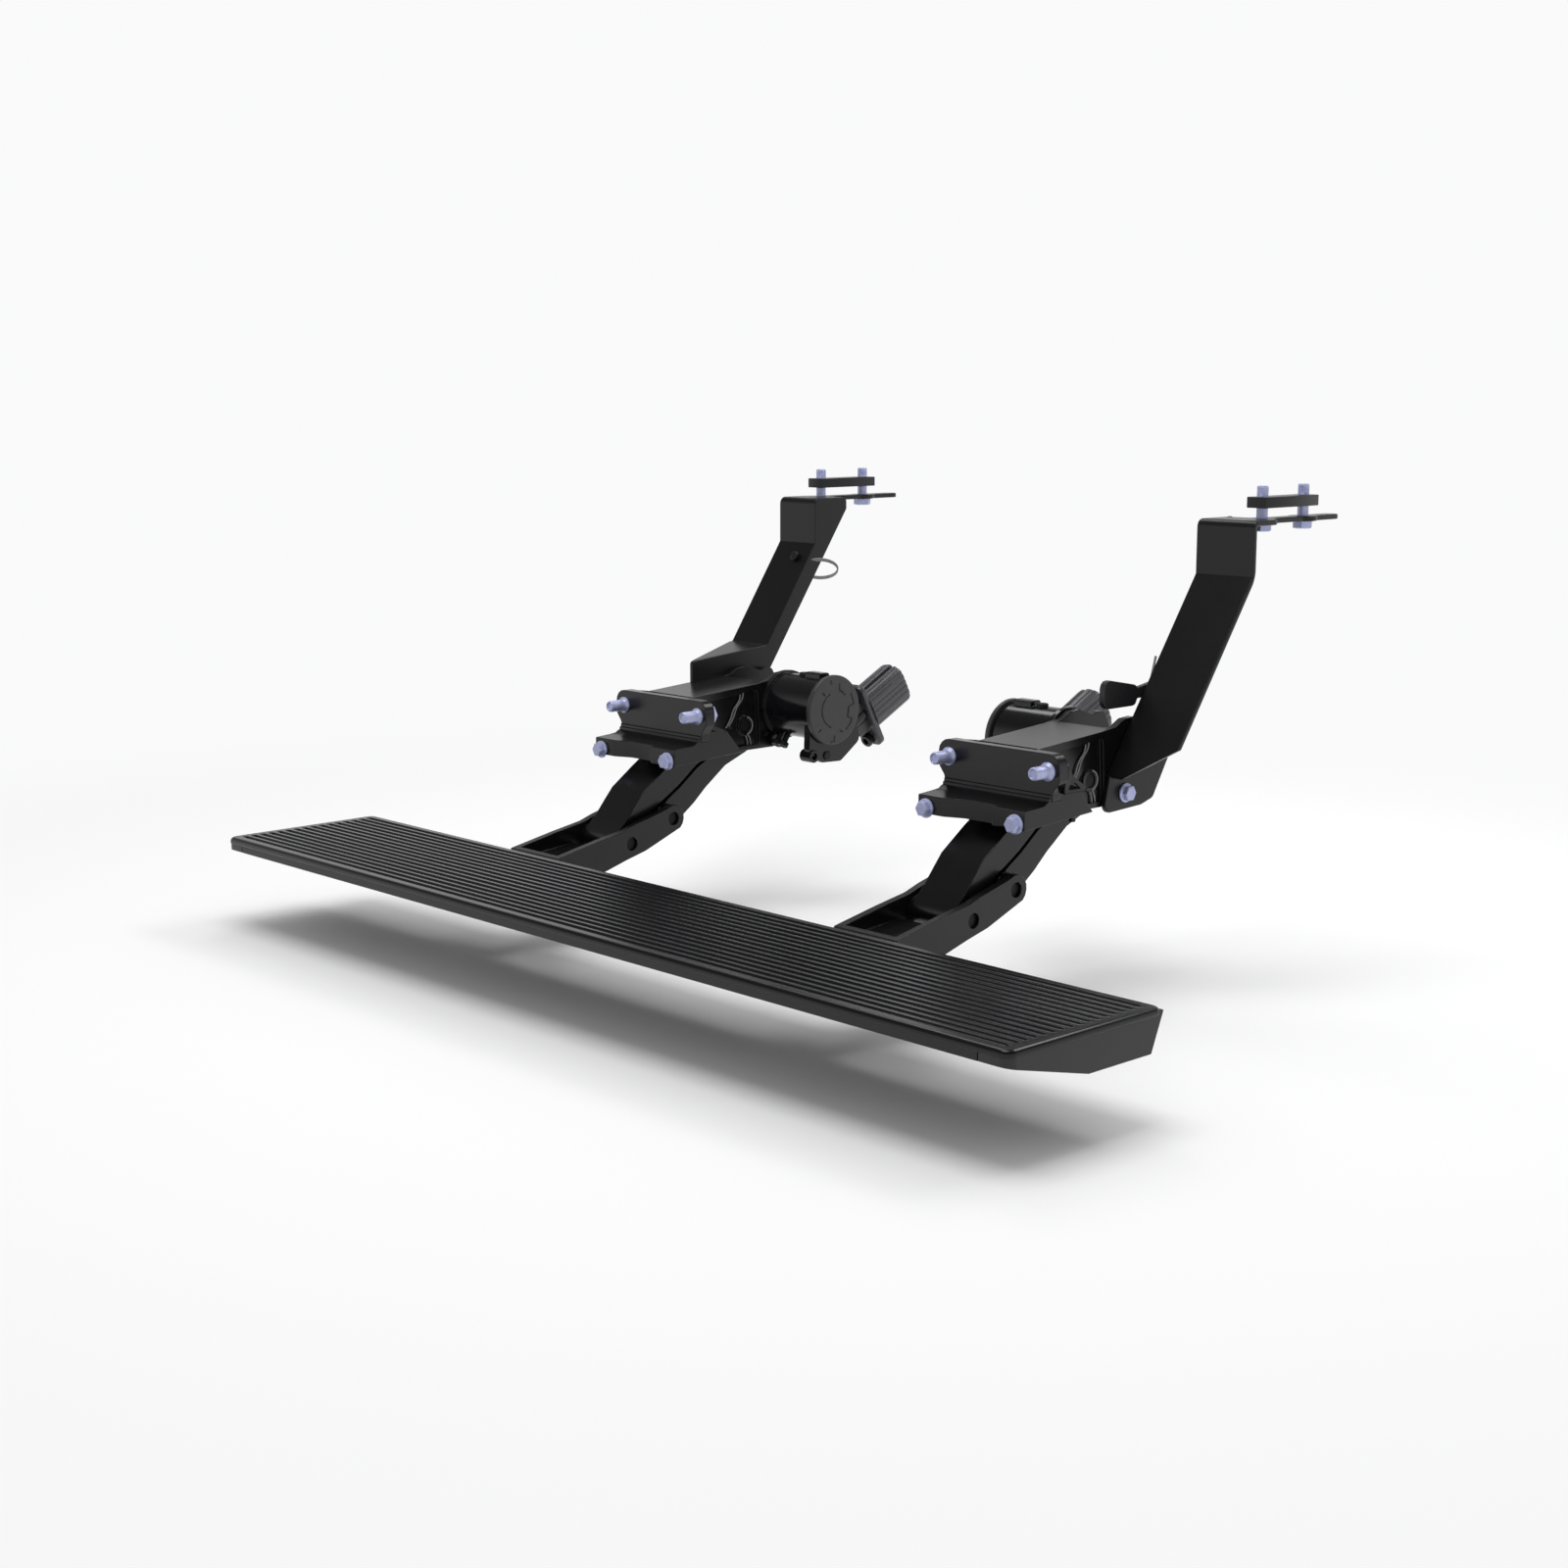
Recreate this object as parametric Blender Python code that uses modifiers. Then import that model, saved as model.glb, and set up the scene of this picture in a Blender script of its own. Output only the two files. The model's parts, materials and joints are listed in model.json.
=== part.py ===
"""Electric side step: a tread board carried by two motor driven folding linkages.

The script works in millimetres and the finished meshes are in metres, +Z up.
X runs along the board, Y runs from the outboard edge towards the vehicle.
The origin is on the left housing's sill flange, midway between its two bolts.
"""
import math

import bmesh
import bpy
from mathutils import Matrix, Vector

MM = 0.001
SEAT = 0.3          # gap left between two pieces that touch
RUN = 0.35          # radial clearance of a turning piece
ARC_STEP = 22.5     # degrees between two points of a wide round stretch

# linkages, seen from the side as (y, z)
LINK_SPACING = 433.6
LOWER_FRONT = (-65.8, -117.2)
PIVOT_OFFSET = (51.6, 17.8)
LINK_REACH = (147.6, 97.5)
PIN_R = 6.0

# tread board
BOARD_LENGTH = 997.7
BOARD_LEFT = -267.2
BOARD_FRONT = -321.0
TREAD_TOP = -119.1
BOARD_WIDTH = 165.0
BOARD_DEPTH = 32.5
FRONT_FACE = 12.0
KEEL_FRONT = 84.0
KEEL_BACK = 152.0
BOARD_WALL = 3.0
CAP_LENGTH = 27.0
RIB_COUNT = 15
RIB_PITCH = 10.0
RIB_WIDTH = 5.0
RIB_HEIGHT = 1.4
SLOT_CENTRES = (98.0, 134.0)
SLOT_MOUTH = 9.0
SLOT_WIDTH = 18.0
SLOT_DEPTH = 8.0
SLOT_LIP = 3.0

# step bracket under the board
BRACKET_HALF = 35.5
BRACKET_WALL = 7.5
FOOT_FRONT = 75.0
FOOT_THICK = 7.2

# arms
ARM_HALF = 23.4
LOWER_EYE_R = 13.0
FRONT_EYE_R = 14.0
REAR_EYE_R = 17.0
ARM_SLIT = 2.5

# housing
FLANGE_HALF = 67.0
FLANGE_NECK_HALF = 60.0
FLANGE_THICK = 11.0
FLANGE_TOP = 14.6
FLANGE_NECK_Z = -17.0
FLANGE_BOTTOM = -26.0
LIP_FRONT = -33.0
LIP_TOP = -28.9
LIP_BOTTOM = -44.8
LIP_HALF = 59.0
BOX_HALF = 33.5
BOX_CAVITY_HALF = 26.0
BOX_RISE = (95.7, 20.8)
BOX_BOTTOM = -44.0
WEB_POCKET = 3.5
WEB_RIB = 1.7
BOSS_R = 10.0
GUSSET_THICK = 6.0
HUMP_R = 31.8
TAIL_R = 37.0
ROOF_END = 107.0
BOLT_SPREAD = 109.1
SILL_BOLT_OUT = 19.0
COLLAR_R = 7.8
COLLAR_THICK = 4.0
LIP_BOLT_SPREAD = 98.7
LIP_BOLT_Z = -39.9

# worm drive and motor
CASE_R = 31.0
CASE_OUT = 99.0
CASE_RING = 5.0
COVER_R = 34.2
COVER_THICK = 5.0
SHAFT_R = 9.0
SHAFT_REACH = 80.0
SHAFT_STEP = 2.0
WORM_X = 88.0
WORM_DROP = 32.3
MOTOR_TILT = 27.8
WORM_TUBE_R = 10.5
MOTOR_FLANGE_AT = 50.0
MOTOR_FLANGE_THICK = 6.0
MOTOR_R = 21.3
MOTOR_LENGTH = 48.0
FLUTE_COUNT = 12
FLUTE_DEPTH = 1.5

# struts to the vehicle frame, one set of values for each side
STRUT_PLANE = 34.0
PLATE = 4.5
LEFT_STRUT = dict(width=53.4, top=(239.7, 194.0), bend=(239.7, 148.0), foot=(171.8, 47.7),
                  shelf=(74.6, 39.1), bolt_y=283.6, tongue=48.9)
RIGHT_STRUT = dict(width=60.4, top=(217.0, 195.6), bend=(217.0, 147.9), foot=(100.2, -17.7),
                   shelf=None, bolt_y=260.9, tongue=48.6)
CLAMP_ACROSS = 36.5
CLAMP_PITCH = 61.5
CLAMP_BAR = (20.0, 81.0, 9.5)
CLAMP_LIFT = 9.0
CLAMP_BOLT_RISE = 28.0
BOLT_R = 5.0
HEX_R = 9.2
HOLE_R = BOLT_R + SEAT

PARTS = None
CUTTERS = None


def start_scene():
    """Empties the scene and makes one collection for the parts and one for the cutters."""
    global PARTS, CUTTERS
    for old in list(bpy.data.objects):
        bpy.data.objects.remove(old, do_unlink=True)
    PARTS = bpy.data.collections.new("electric_side_step")
    CUTTERS = bpy.data.collections.new("cutters")
    bpy.context.scene.collection.children.link(PARTS)
    bpy.context.scene.collection.children.link(CUTTERS)


def finish(name, colour, roughness, metallic):
    """Returns the named Principled material, made the first time it is asked for."""
    material = bpy.data.materials.get(name)
    if material is None:
        material = bpy.data.materials.new(name)
        material.use_nodes = True
        shader = material.node_tree.nodes["Principled BSDF"]
        shader.inputs["Base Color"].default_value = (*colour, 1.0)
        shader.inputs["Roughness"].default_value = roughness
        shader.inputs["Metallic"].default_value = metallic
    return material


def black_casting():
    return finish("black_casting", (0.012, 0.012, 0.013), 0.42, 0.0)


def black_sheet():
    return finish("black_sheet", (0.014, 0.014, 0.015), 0.55, 0.0)


def tread_black():
    return finish("tread_black", (0.018, 0.018, 0.02), 0.5, 0.0)


def motor_grey():
    return finish("motor_grey", (0.06, 0.06, 0.07), 0.45, 0.0)


def zinc():
    return finish("zinc", (0.42, 0.45, 0.68), 0.35, 0.6)


def steel():
    return finish("steel", (0.3, 0.3, 0.3), 0.35, 1.0)


def arc_step(radius):
    """Small rounds need fewer points than wide ones."""
    return ARC_STEP if radius > 9.0 else 30.0 if radius > 3.0 else 45.0


def arc(centre, radius, first, last):
    """Points of an arc in degrees, both ends included."""
    steps = max(2, round(abs(last - first) / arc_step(radius)))
    points = []
    for i in range(steps + 1):
        angle = math.radians(first + (last - first) * i / steps)
        points.append((centre[0] + radius * math.cos(angle), centre[1] + radius * math.sin(angle)))
    return points


def circle(centre, radius):
    return arc(centre, radius, 0.0, 360.0)[:-1]


def rounded(corners):
    """Turns corners (a, b) or (a, b, radius) into an outline with round corners."""
    points = []
    count = len(corners)
    for i, corner in enumerate(corners):
        here = Vector(corner[:2])
        if len(corner) == 2:
            points.append(tuple(here))
            continue
        before = (Vector(corners[i - 1][:2]) - here).normalized()
        after = (Vector(corners[(i + 1) % count][:2]) - here).normalized()
        half = before.angle(after) / 2.0
        reach = corner[2] / math.tan(half)
        centre = here + (before + after).normalized() * (corner[2] / math.sin(half))
        first = here + before * reach - centre
        last = here + after * reach - centre
        sweep = first.angle_signed(last)
        steps = max(2, round(abs(math.degrees(sweep)) / arc_step(corner[2])))
        for k in range(steps + 1):
            turn = Matrix.Rotation(-sweep * k / steps, 2)
            points.append(tuple(centre + turn @ first))
    return points


PLANES = {
    "x": Matrix.Rotation(math.pi / 2, 4, "Z") @ Matrix.Rotation(math.pi / 2, 4, "X"),
    "y": Matrix.Rotation(math.pi / 2, 4, "X"),
    "z": Matrix.Identity(4),
}


def add_object(name, mesh, matrix, material, group=None):
    made = bpy.data.objects.new(name, mesh)
    made.matrix_world = matrix
    if material is not None:
        mesh.materials.clear()
        mesh.materials.append(material)
    (group or PARTS).objects.link(made)
    return made


def slab(name, loops, axis, low, high, material=None):
    """Extrudes a flat outline, and any holes after it, from low to high along an axis."""
    curve = bpy.data.curves.new(name, "CURVE")
    curve.dimensions = "2D"
    curve.fill_mode = "BOTH"
    curve.extrude = (high - low) / 2.0 * MM
    for loop in loops:
        spline = curve.splines.new("POLY")
        spline.points.add(len(loop) - 1)
        for point, (a, b) in zip(spline.points, loop):
            point.co = (a * MM, b * MM, 0.0, 1.0)
        spline.use_cyclic_u = True
    middle = Vector([(low + high) / 2.0 * MM if letter == axis else 0.0 for letter in "xyz"])
    flat = bpy.data.objects.new(name + "_outline", curve)
    flat.matrix_world = Matrix.Translation(middle) @ PLANES[axis]
    PARTS.objects.link(flat)
    bpy.context.view_layer.update()
    seen = flat.evaluated_get(bpy.context.evaluated_depsgraph_get())
    mesh = bpy.data.meshes.new_from_object(seen)
    shell = bmesh.new()
    shell.from_mesh(mesh)
    bmesh.ops.remove_doubles(shell, verts=shell.verts, dist=0.00001)
    bmesh.ops.recalc_face_normals(shell, faces=shell.faces)
    shell.to_mesh(mesh)
    shell.free()
    mesh.shade_flat()
    made = add_object(name, mesh, flat.matrix_world.copy(), material)
    bpy.data.objects.remove(flat, do_unlink=True)
    bpy.data.curves.remove(curve)
    return made


def along(direction):
    """A turn that lays local +Z on a direction."""
    return Vector((0.0, 0.0, 1.0)).rotation_difference(Vector(direction)).to_matrix().to_4x4()


def rod(name, base, direction, radius, length, material=None, sides=12):
    """A round or many sided bar that starts at base and runs along a direction."""
    mesh = bpy.data.meshes.new(name)
    shell = bmesh.new()
    bmesh.ops.create_cone(shell, cap_ends=True, segments=sides, radius1=radius * MM,
                          radius2=radius * MM, depth=length * MM)
    bmesh.ops.translate(shell, verts=shell.verts, vec=(0.0, 0.0, length / 2.0 * MM))
    shell.to_mesh(mesh)
    shell.free()
    matrix = Matrix.Translation(Vector(base) * MM) @ along(direction)
    return smooth(add_object(name, mesh, matrix, material))


def turned(name, profile, base, direction, material=None, steps=24):
    """Spins a profile of (radius, height), listed from the top down, about a direction."""
    mesh = bpy.data.meshes.new(name)
    mesh.from_pydata([(r * MM, 0.0, h * MM) for r, h in profile],
                     [(i, i + 1) for i in range(len(profile) - 1)], [])
    matrix = Matrix.Translation(Vector(base) * MM) @ along(direction)
    made = add_object(name, mesh, matrix, material)
    spin = made.modifiers.new("spin", "SCREW")
    spin.steps = steps
    spin.render_steps = steps
    spin.use_merge_vertices = True
    spin.merge_threshold = 0.00001
    spin.use_smooth_shade = False
    return made


def smooth(made, angle=32.0):
    made.data.shade_smooth()
    made.data.set_sharp_from_angle(angle=math.radians(angle))
    return made


def boolean(target, tool, operation):
    """Adds a live Boolean and puts its tool away with the cutters."""
    change = target.modifiers.new(tool.name, "BOOLEAN")
    change.operation = operation
    change.object = tool
    change.solver = "EXACT"
    PARTS.objects.unlink(tool)
    CUTTERS.objects.link(tool)
    tool.hide_render = True
    tool.display_type = "WIRE"
    return target


def cut(target, *tools):
    for tool in tools:
        boolean(target, tool, "DIFFERENCE")
    return target


def fuse(target, *tools):
    for tool in tools:
        boolean(target, tool, "UNION")
    return target


def carrier(name, place):
    """An empty on a joint's axis, which the pieces of one body hang from."""
    empty = bpy.data.objects.new(name, None)
    empty.empty_display_size = 0.03
    empty.location = Vector(place) * MM
    PARTS.objects.link(empty)
    return empty


def hang(empty, *pieces):
    for piece in pieces:
        piece.parent = empty
        piece.matrix_parent_inverse = Matrix.Translation(-empty.location)


def add2(a, b):
    return (a[0] + b[0], a[1] + b[1])


LOWER_REAR = add2(LOWER_FRONT, PIVOT_OFFSET)
UPPER_FRONT = add2(LOWER_FRONT, LINK_REACH)
UPPER_REAR = add2(LOWER_REAR, LINK_REACH)
LINK_LENGTH = math.hypot(*LINK_REACH)
LINK_DIR = (LINK_REACH[0] / LINK_LENGTH, LINK_REACH[1] / LINK_LENGTH)
STAGGER = PIVOT_OFFSET[0] * LINK_DIR[0] + PIVOT_OFFSET[1] * LINK_DIR[1]
PIVOT_DROP = PIVOT_OFFSET[0] * LINK_DIR[1] - PIVOT_OFFSET[1] * LINK_DIR[0]


def board_section(inset, ribs):
    """The board's outer outline as (y, z), with its tread ribs or without them."""
    front = BOARD_FRONT + inset
    back = BOARD_FRONT + BOARD_WIDTH - inset
    top = TREAD_TOP - inset
    keel = TREAD_TOP - BOARD_DEPTH + inset
    outline = [(front, top)]
    if ribs:
        first = BOARD_FRONT + (BOARD_WIDTH - (RIB_COUNT - 1) * RIB_PITCH) / 2.0
        for i in range(RIB_COUNT):
            middle = first + i * RIB_PITCH
            outline.append((middle - RIB_WIDTH / 2.0, top))
            outline.append((middle - RIB_WIDTH / 4.0, top + RIB_HEIGHT))
            outline.append((middle + RIB_WIDTH / 4.0, top + RIB_HEIGHT))
            outline.append((middle + RIB_WIDTH / 2.0, top))
    outline.append((back, top))
    outline.append((BOARD_FRONT + KEEL_BACK - inset, keel))
    outline.append((BOARD_FRONT + KEEL_FRONT, keel))
    outline.append((front, TREAD_TOP - FRONT_FACE + inset))
    return outline


def t_slot(centre):
    """A slot from the keel that takes a bolt head, as part of the outer outline."""
    keel = TREAD_TOP - BOARD_DEPTH
    middle = BOARD_FRONT + centre
    mouth, wide = SLOT_MOUTH / 2.0, SLOT_WIDTH / 2.0
    roof = keel + SLOT_LIP + SLOT_DEPTH
    return [(middle + mouth, keel), (middle + mouth, keel + SLOT_LIP), (middle + wide, keel + SLOT_LIP),
            (middle + wide, roof), (middle - wide, roof), (middle - wide, keel + SLOT_LIP),
            (middle - mouth, keel + SLOT_LIP), (middle - mouth, keel)]


def board_chambers():
    """Hollow chambers between the webs of the extrusion."""
    wall = BOARD_WALL
    top = TREAD_TOP - RIB_HEIGHT - wall
    keel = TREAD_TOP - BOARD_DEPTH + wall
    roof = TREAD_TOP - BOARD_DEPTH + SLOT_LIP + SLOT_DEPTH + wall
    slope = (BOARD_DEPTH - FRONT_FACE) / KEEL_FRONT
    first, second = (BOARD_FRONT + c for c in SLOT_CENTRES)
    wide = SLOT_WIDTH / 2.0 + wall

    def floor(y):
        return TREAD_TOP - FRONT_FACE - slope * (y - BOARD_FRONT) + wall * 1.1

    chambers = []
    edges = (BOARD_FRONT + wall, BOARD_FRONT + 28.0, BOARD_FRONT + 56.0, first - wide)
    for i in range(3):
        left = edges[i] + (wall / 2.0 if i else 0.0)
        right = edges[i + 1] - (wall / 2.0 if i < 2 else 0.0)
        low_right = max(floor(right), keel)
        chambers.append(rounded([(left, top), (right, top), (right, low_right),
                                 (left, floor(left))]))
    chambers.append(rounded([(first - wide + wall, top), (first + wide - wall, top),
                             (first + wide - wall, roof), (first - wide + wall, roof)]))
    chambers.append(rounded([(first + wide, top), (second - wide, top),
                             (second - wide, keel), (first + wide, keel)]))
    inner = BOARD_FRONT + BOARD_WIDTH - wall
    lean = (BOARD_WIDTH - KEEL_BACK) / BOARD_DEPTH
    chambers.append(rounded([(second - wide + wall, top), (inner - 1.5, top),
                             (inner - (top - roof) * lean - 1.5, roof),
                             (second - wide + wall, roof)]))
    return chambers


def make_board():
    """The extruded tread and the two plugs that close its ends."""
    outline = board_section(0.0, True)
    low = [(a, b - RIB_HEIGHT) if b >= TREAD_TOP - 0.01 else (a, b) for a, b in outline]
    for centre in SLOT_CENTRES:
        low[len(outline) - 2:len(outline) - 2] = t_slot(centre)
    left = BOARD_LEFT + CAP_LENGTH + SEAT
    right = BOARD_LEFT + BOARD_LENGTH - CAP_LENGTH - SEAT
    board = slab("tread_board", [low] + board_chambers(), "x", left, right, tread_black())
    pieces = [board]
    for name, start, way in (("left_end_cap", BOARD_LEFT, 1), ("right_end_cap", BOARD_LEFT + BOARD_LENGTH, -1)):
        ends = sorted((start, start + way * CAP_LENGTH))
        plain = board_section(0.0, False)
        cap = slab(name, [plain], "x", *ends, material=tread_black())
        inner_face = start + way * CAP_LENGTH
        for i, chamber in enumerate(board_chambers()):
            middle = (sum(a for a, _ in chamber) / len(chamber), sum(b for _, b in chamber) / len(chamber))
            plug = [(middle[0] + (a - middle[0]) * 0.86, middle[1] + (b - middle[1]) * 0.8) for a, b in chamber]
            reach = sorted((inner_face - way * 2.0, inner_face + way * 12.0))
            if i in (0, 2, 4):
                fuse(cap, slab(f"{name}_plug_{i}", [plug], "x", *reach))
        corner = start
        nose = slab(name + "_nose", [[(corner - way, BOARD_FRONT - 1.0), (corner + way * 9.0, BOARD_FRONT - 1.0)]
                                     + [(corner + way * (9.0 + 9.0 * math.cos(math.radians(t))),
                                         BOARD_FRONT + 9.0 + 9.0 * math.sin(math.radians(t)))
                                        for t in (270, 250, 230, 210, 190, 180)]
                                     + [(corner - way, BOARD_FRONT + 9.0)]], "z", -200.0, -100.0)
        cut(cap, nose)
        pieces.append(cap)
    return pieces


def bracket_side():
    """The side plate of the step bracket as (y, z)."""
    back = BOARD_FRONT + BOARD_WIDTH + 1.0
    keel = TREAD_TOP - BOARD_DEPTH - SEAT
    a = LOWER_REAR
    return [(BOARD_FRONT + KEEL_BACK + 1.0, keel), (back, TREAD_TOP + 0.2), (a[0] - 92.0, TREAD_TOP + 9.9),
            (a[0] - 59.7, TREAD_TOP + 15.5), (a[0] - 43.3, TREAD_TOP + 20.9), (a[0] - 9.9, TREAD_TOP + 29.6),
            *arc(a, 13.0, 100.0, -50.0), (a[0] - 9.3, TREAD_TOP + 3.0), (a[0] - 34.3, TREAD_TOP - 6.8),
            (a[0] - 59.1, TREAD_TOP - 13.1), (a[0] - 81.0, TREAD_TOP - 19.3),
            (back - 1.0, TREAD_TOP - 37.0), (BOARD_FRONT + KEEL_BACK - 6.0, keel - FOOT_THICK),
            (BOARD_FRONT + FOOT_FRONT, keel - FOOT_THICK), (BOARD_FRONT + FOOT_FRONT, keel)]


def make_step_bracket(side, x):
    """A cast channel that holds the arms' lower eyes and reaches under the board."""
    inner = BRACKET_HALF - BRACKET_WALL
    bracket = slab(side + "_step_bracket", [bracket_side()], "x", x - BRACKET_HALF, x + BRACKET_HALF,
                   black_casting())
    back = BOARD_FRONT + BOARD_WIDTH
    a = LOWER_REAR
    pocket = [(back + 7.0, TREAD_TOP + 60.0), (back + 7.0, TREAD_TOP - 9.0, 4.0), (a[0] - 72.0, TREAD_TOP - 3.0),
              (a[0] - 66.0, TREAD_TOP - 60.0), (a[0] + 60.0, TREAD_TOP - 60.0), (a[0] + 60.0, TREAD_TOP + 60.0)]
    cut(bracket, slab(side + "_channel", [rounded(pocket)], "x", x - inner, x + inner))
    for name, pivot in (("rear", LOWER_REAR), ("front", LOWER_FRONT)):
        cut(bracket, rod(f"{side}_{name}_eye_hole", (x - 60.0, *pivot), (1, 0, 0), PIN_R + RUN, 120.0))
    foot_holes = []
    for i, centre in enumerate(SLOT_CENTRES):
        y = BOARD_FRONT + centre
        foot_holes.append(rod(f"{side}_foot_hole_{i}", (x, y, TREAD_TOP - BOARD_DEPTH - 20.0), (0, 0, 1),
                              SLOT_MOUTH / 2.0 - 0.2, 30.0))
    cut(bracket, *foot_holes)
    bolts = []
    for i, centre in enumerate(SLOT_CENTRES):
        bolts.append(slot_bolt(f"{side}_foot_bolt_{i + 1}", x, BOARD_FRONT + centre))
    return [bracket, *bolts]


def slot_bolt(name, x, y):
    """A bolt whose square head slides in the board's slot, with its nut under the foot."""
    keel = TREAD_TOP - BOARD_DEPTH
    radius = 4.0
    head = slab(name, [[(x - 7.5, y - 7.5), (x + 7.5, y - 7.5), (x + 7.5, y + 7.5), (x - 7.5, y + 7.5)]], "z",
                keel + SLOT_LIP + SEAT, keel + SLOT_LIP + 5.5, zinc())
    nut_top = keel - SEAT - FOOT_THICK - SEAT
    fuse(head, rod(name + "_shank", (x, y, nut_top - 9.0), (0, 0, 1), radius,
                   keel + SLOT_LIP + 2.0 - nut_top + 9.0))
    fuse(head, rod(name + "_nut", (x, y, nut_top - 6.5), (0, 0, 1), 7.5, 6.5, sides=6))
    return head


def arm_point(pivot, s, n):
    """A point given along the link and square to it, towards the outboard side."""
    return (pivot[0] + s * LINK_DIR[0] - n * LINK_DIR[1], pivot[1] + s * LINK_DIR[1] + n * LINK_DIR[0])


# shape of the gap between the two arms, along and across the front link
SLIT_LINE = ((30.0, -1.0), (STAGGER, 2.4), (68.7, 1.6), (82.6, 1.2), (96.4, 2.0), (110.0, 3.0),
             (125.0, 1.5), (140.0, -3.5), (156.0, -10.5))


def link_angle():
    return math.degrees(math.atan2(LINK_DIR[1], LINK_DIR[0]))


def make_front_arm(side, x):
    """The upper, outboard arm, bowed to clear the housing's lip."""
    turn = link_angle()
    outer = [(15.2, 15.8), (31.9, 20.8), (44.6, 24.3), (77.2, 25.3), (105.0, 25.0), (130.0, 22.0), (158.0, 16.0)]
    outline = arc(LOWER_FRONT, LOWER_EYE_R, turn + 265.0, turn + 110.0)
    outline += [arm_point(LOWER_FRONT, s, n) for s, n in outer]
    outline += arc(UPPER_FRONT, FRONT_EYE_R, turn + 75.0, turn - 95.0)
    outline += [arm_point(LOWER_FRONT, s, n) for s, n in reversed(SLIT_LINE)]
    arm = slab(side + "_front_arm", [outline], "x", x - ARM_HALF, x + ARM_HALF, black_casting())
    return finish_arm(arm, side + "_front", x, LOWER_FRONT, UPPER_FRONT, LOWER_EYE_R, FRONT_EYE_R, PIN_R)


def make_rear_arm(side, x):
    """The lower, inboard arm, which the worm drive turns."""
    turn = link_angle()
    upper = [(s - STAGGER, n + PIVOT_DROP - ARM_SLIT) for s, n in SLIT_LINE[2:]]
    upper += [(126.2, PIVOT_DROP - FRONT_EYE_R - ARM_SLIT), (140.0, 0.5), (156.0, 9.0)]
    lower = [(166.0, -16.5), (140.0, -17.5), (115.0, -14.0), (87.4, -8.0), (55.8, -9.5), (35.2, -12.3), (18.0, -13.0)]
    outline = arc(LOWER_REAR, LOWER_EYE_R, turn + 265.0, turn + 80.0)
    outline += [arm_point(LOWER_REAR, s, n) for s, n in upper]
    outline += arc(UPPER_REAR, REAR_EYE_R, turn + 120.0, turn - 85.0)
    outline += [arm_point(LOWER_REAR, s, n) for s, n in lower]
    arm = slab(side + "_rear_arm", [outline], "x", x - ARM_HALF, x + ARM_HALF, black_casting())
    return finish_arm(arm, side + "_rear", x, LOWER_REAR, UPPER_REAR, LOWER_EYE_R, REAR_EYE_R, PIN_R)


def finish_arm(arm, name, x, lower, upper, lower_r, upper_r, pin_r):
    """Adds the wider hubs at both eyes and bores them."""
    lower_half = BRACKET_HALF - BRACKET_WALL - SEAT
    upper_half = BOX_CAVITY_HALF - SEAT
    fuse(arm, rod(name + "_lower_hub", (x - lower_half, *lower), (1, 0, 0), lower_r - 0.4, 2 * lower_half,
                  sides=18))
    fuse(arm, rod(name + "_upper_hub", (x - upper_half, *upper), (1, 0, 0), upper_r - 0.4, 2 * upper_half,
                  sides=18))
    for label, place in (("lower", lower), ("upper", upper)):
        cut(arm, rod(f"{name}_{label}_bore", (x - 60.0, *place), (1, 0, 0), pin_r + RUN, 120.0))
    return arm


def make_pin(name, x, pivot, half):
    """A headless pin, a little shorter than the walls it sits in."""
    return rod(name, (x - half, *pivot), (1, 0, 0), PIN_R, 2 * half, steel())


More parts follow.
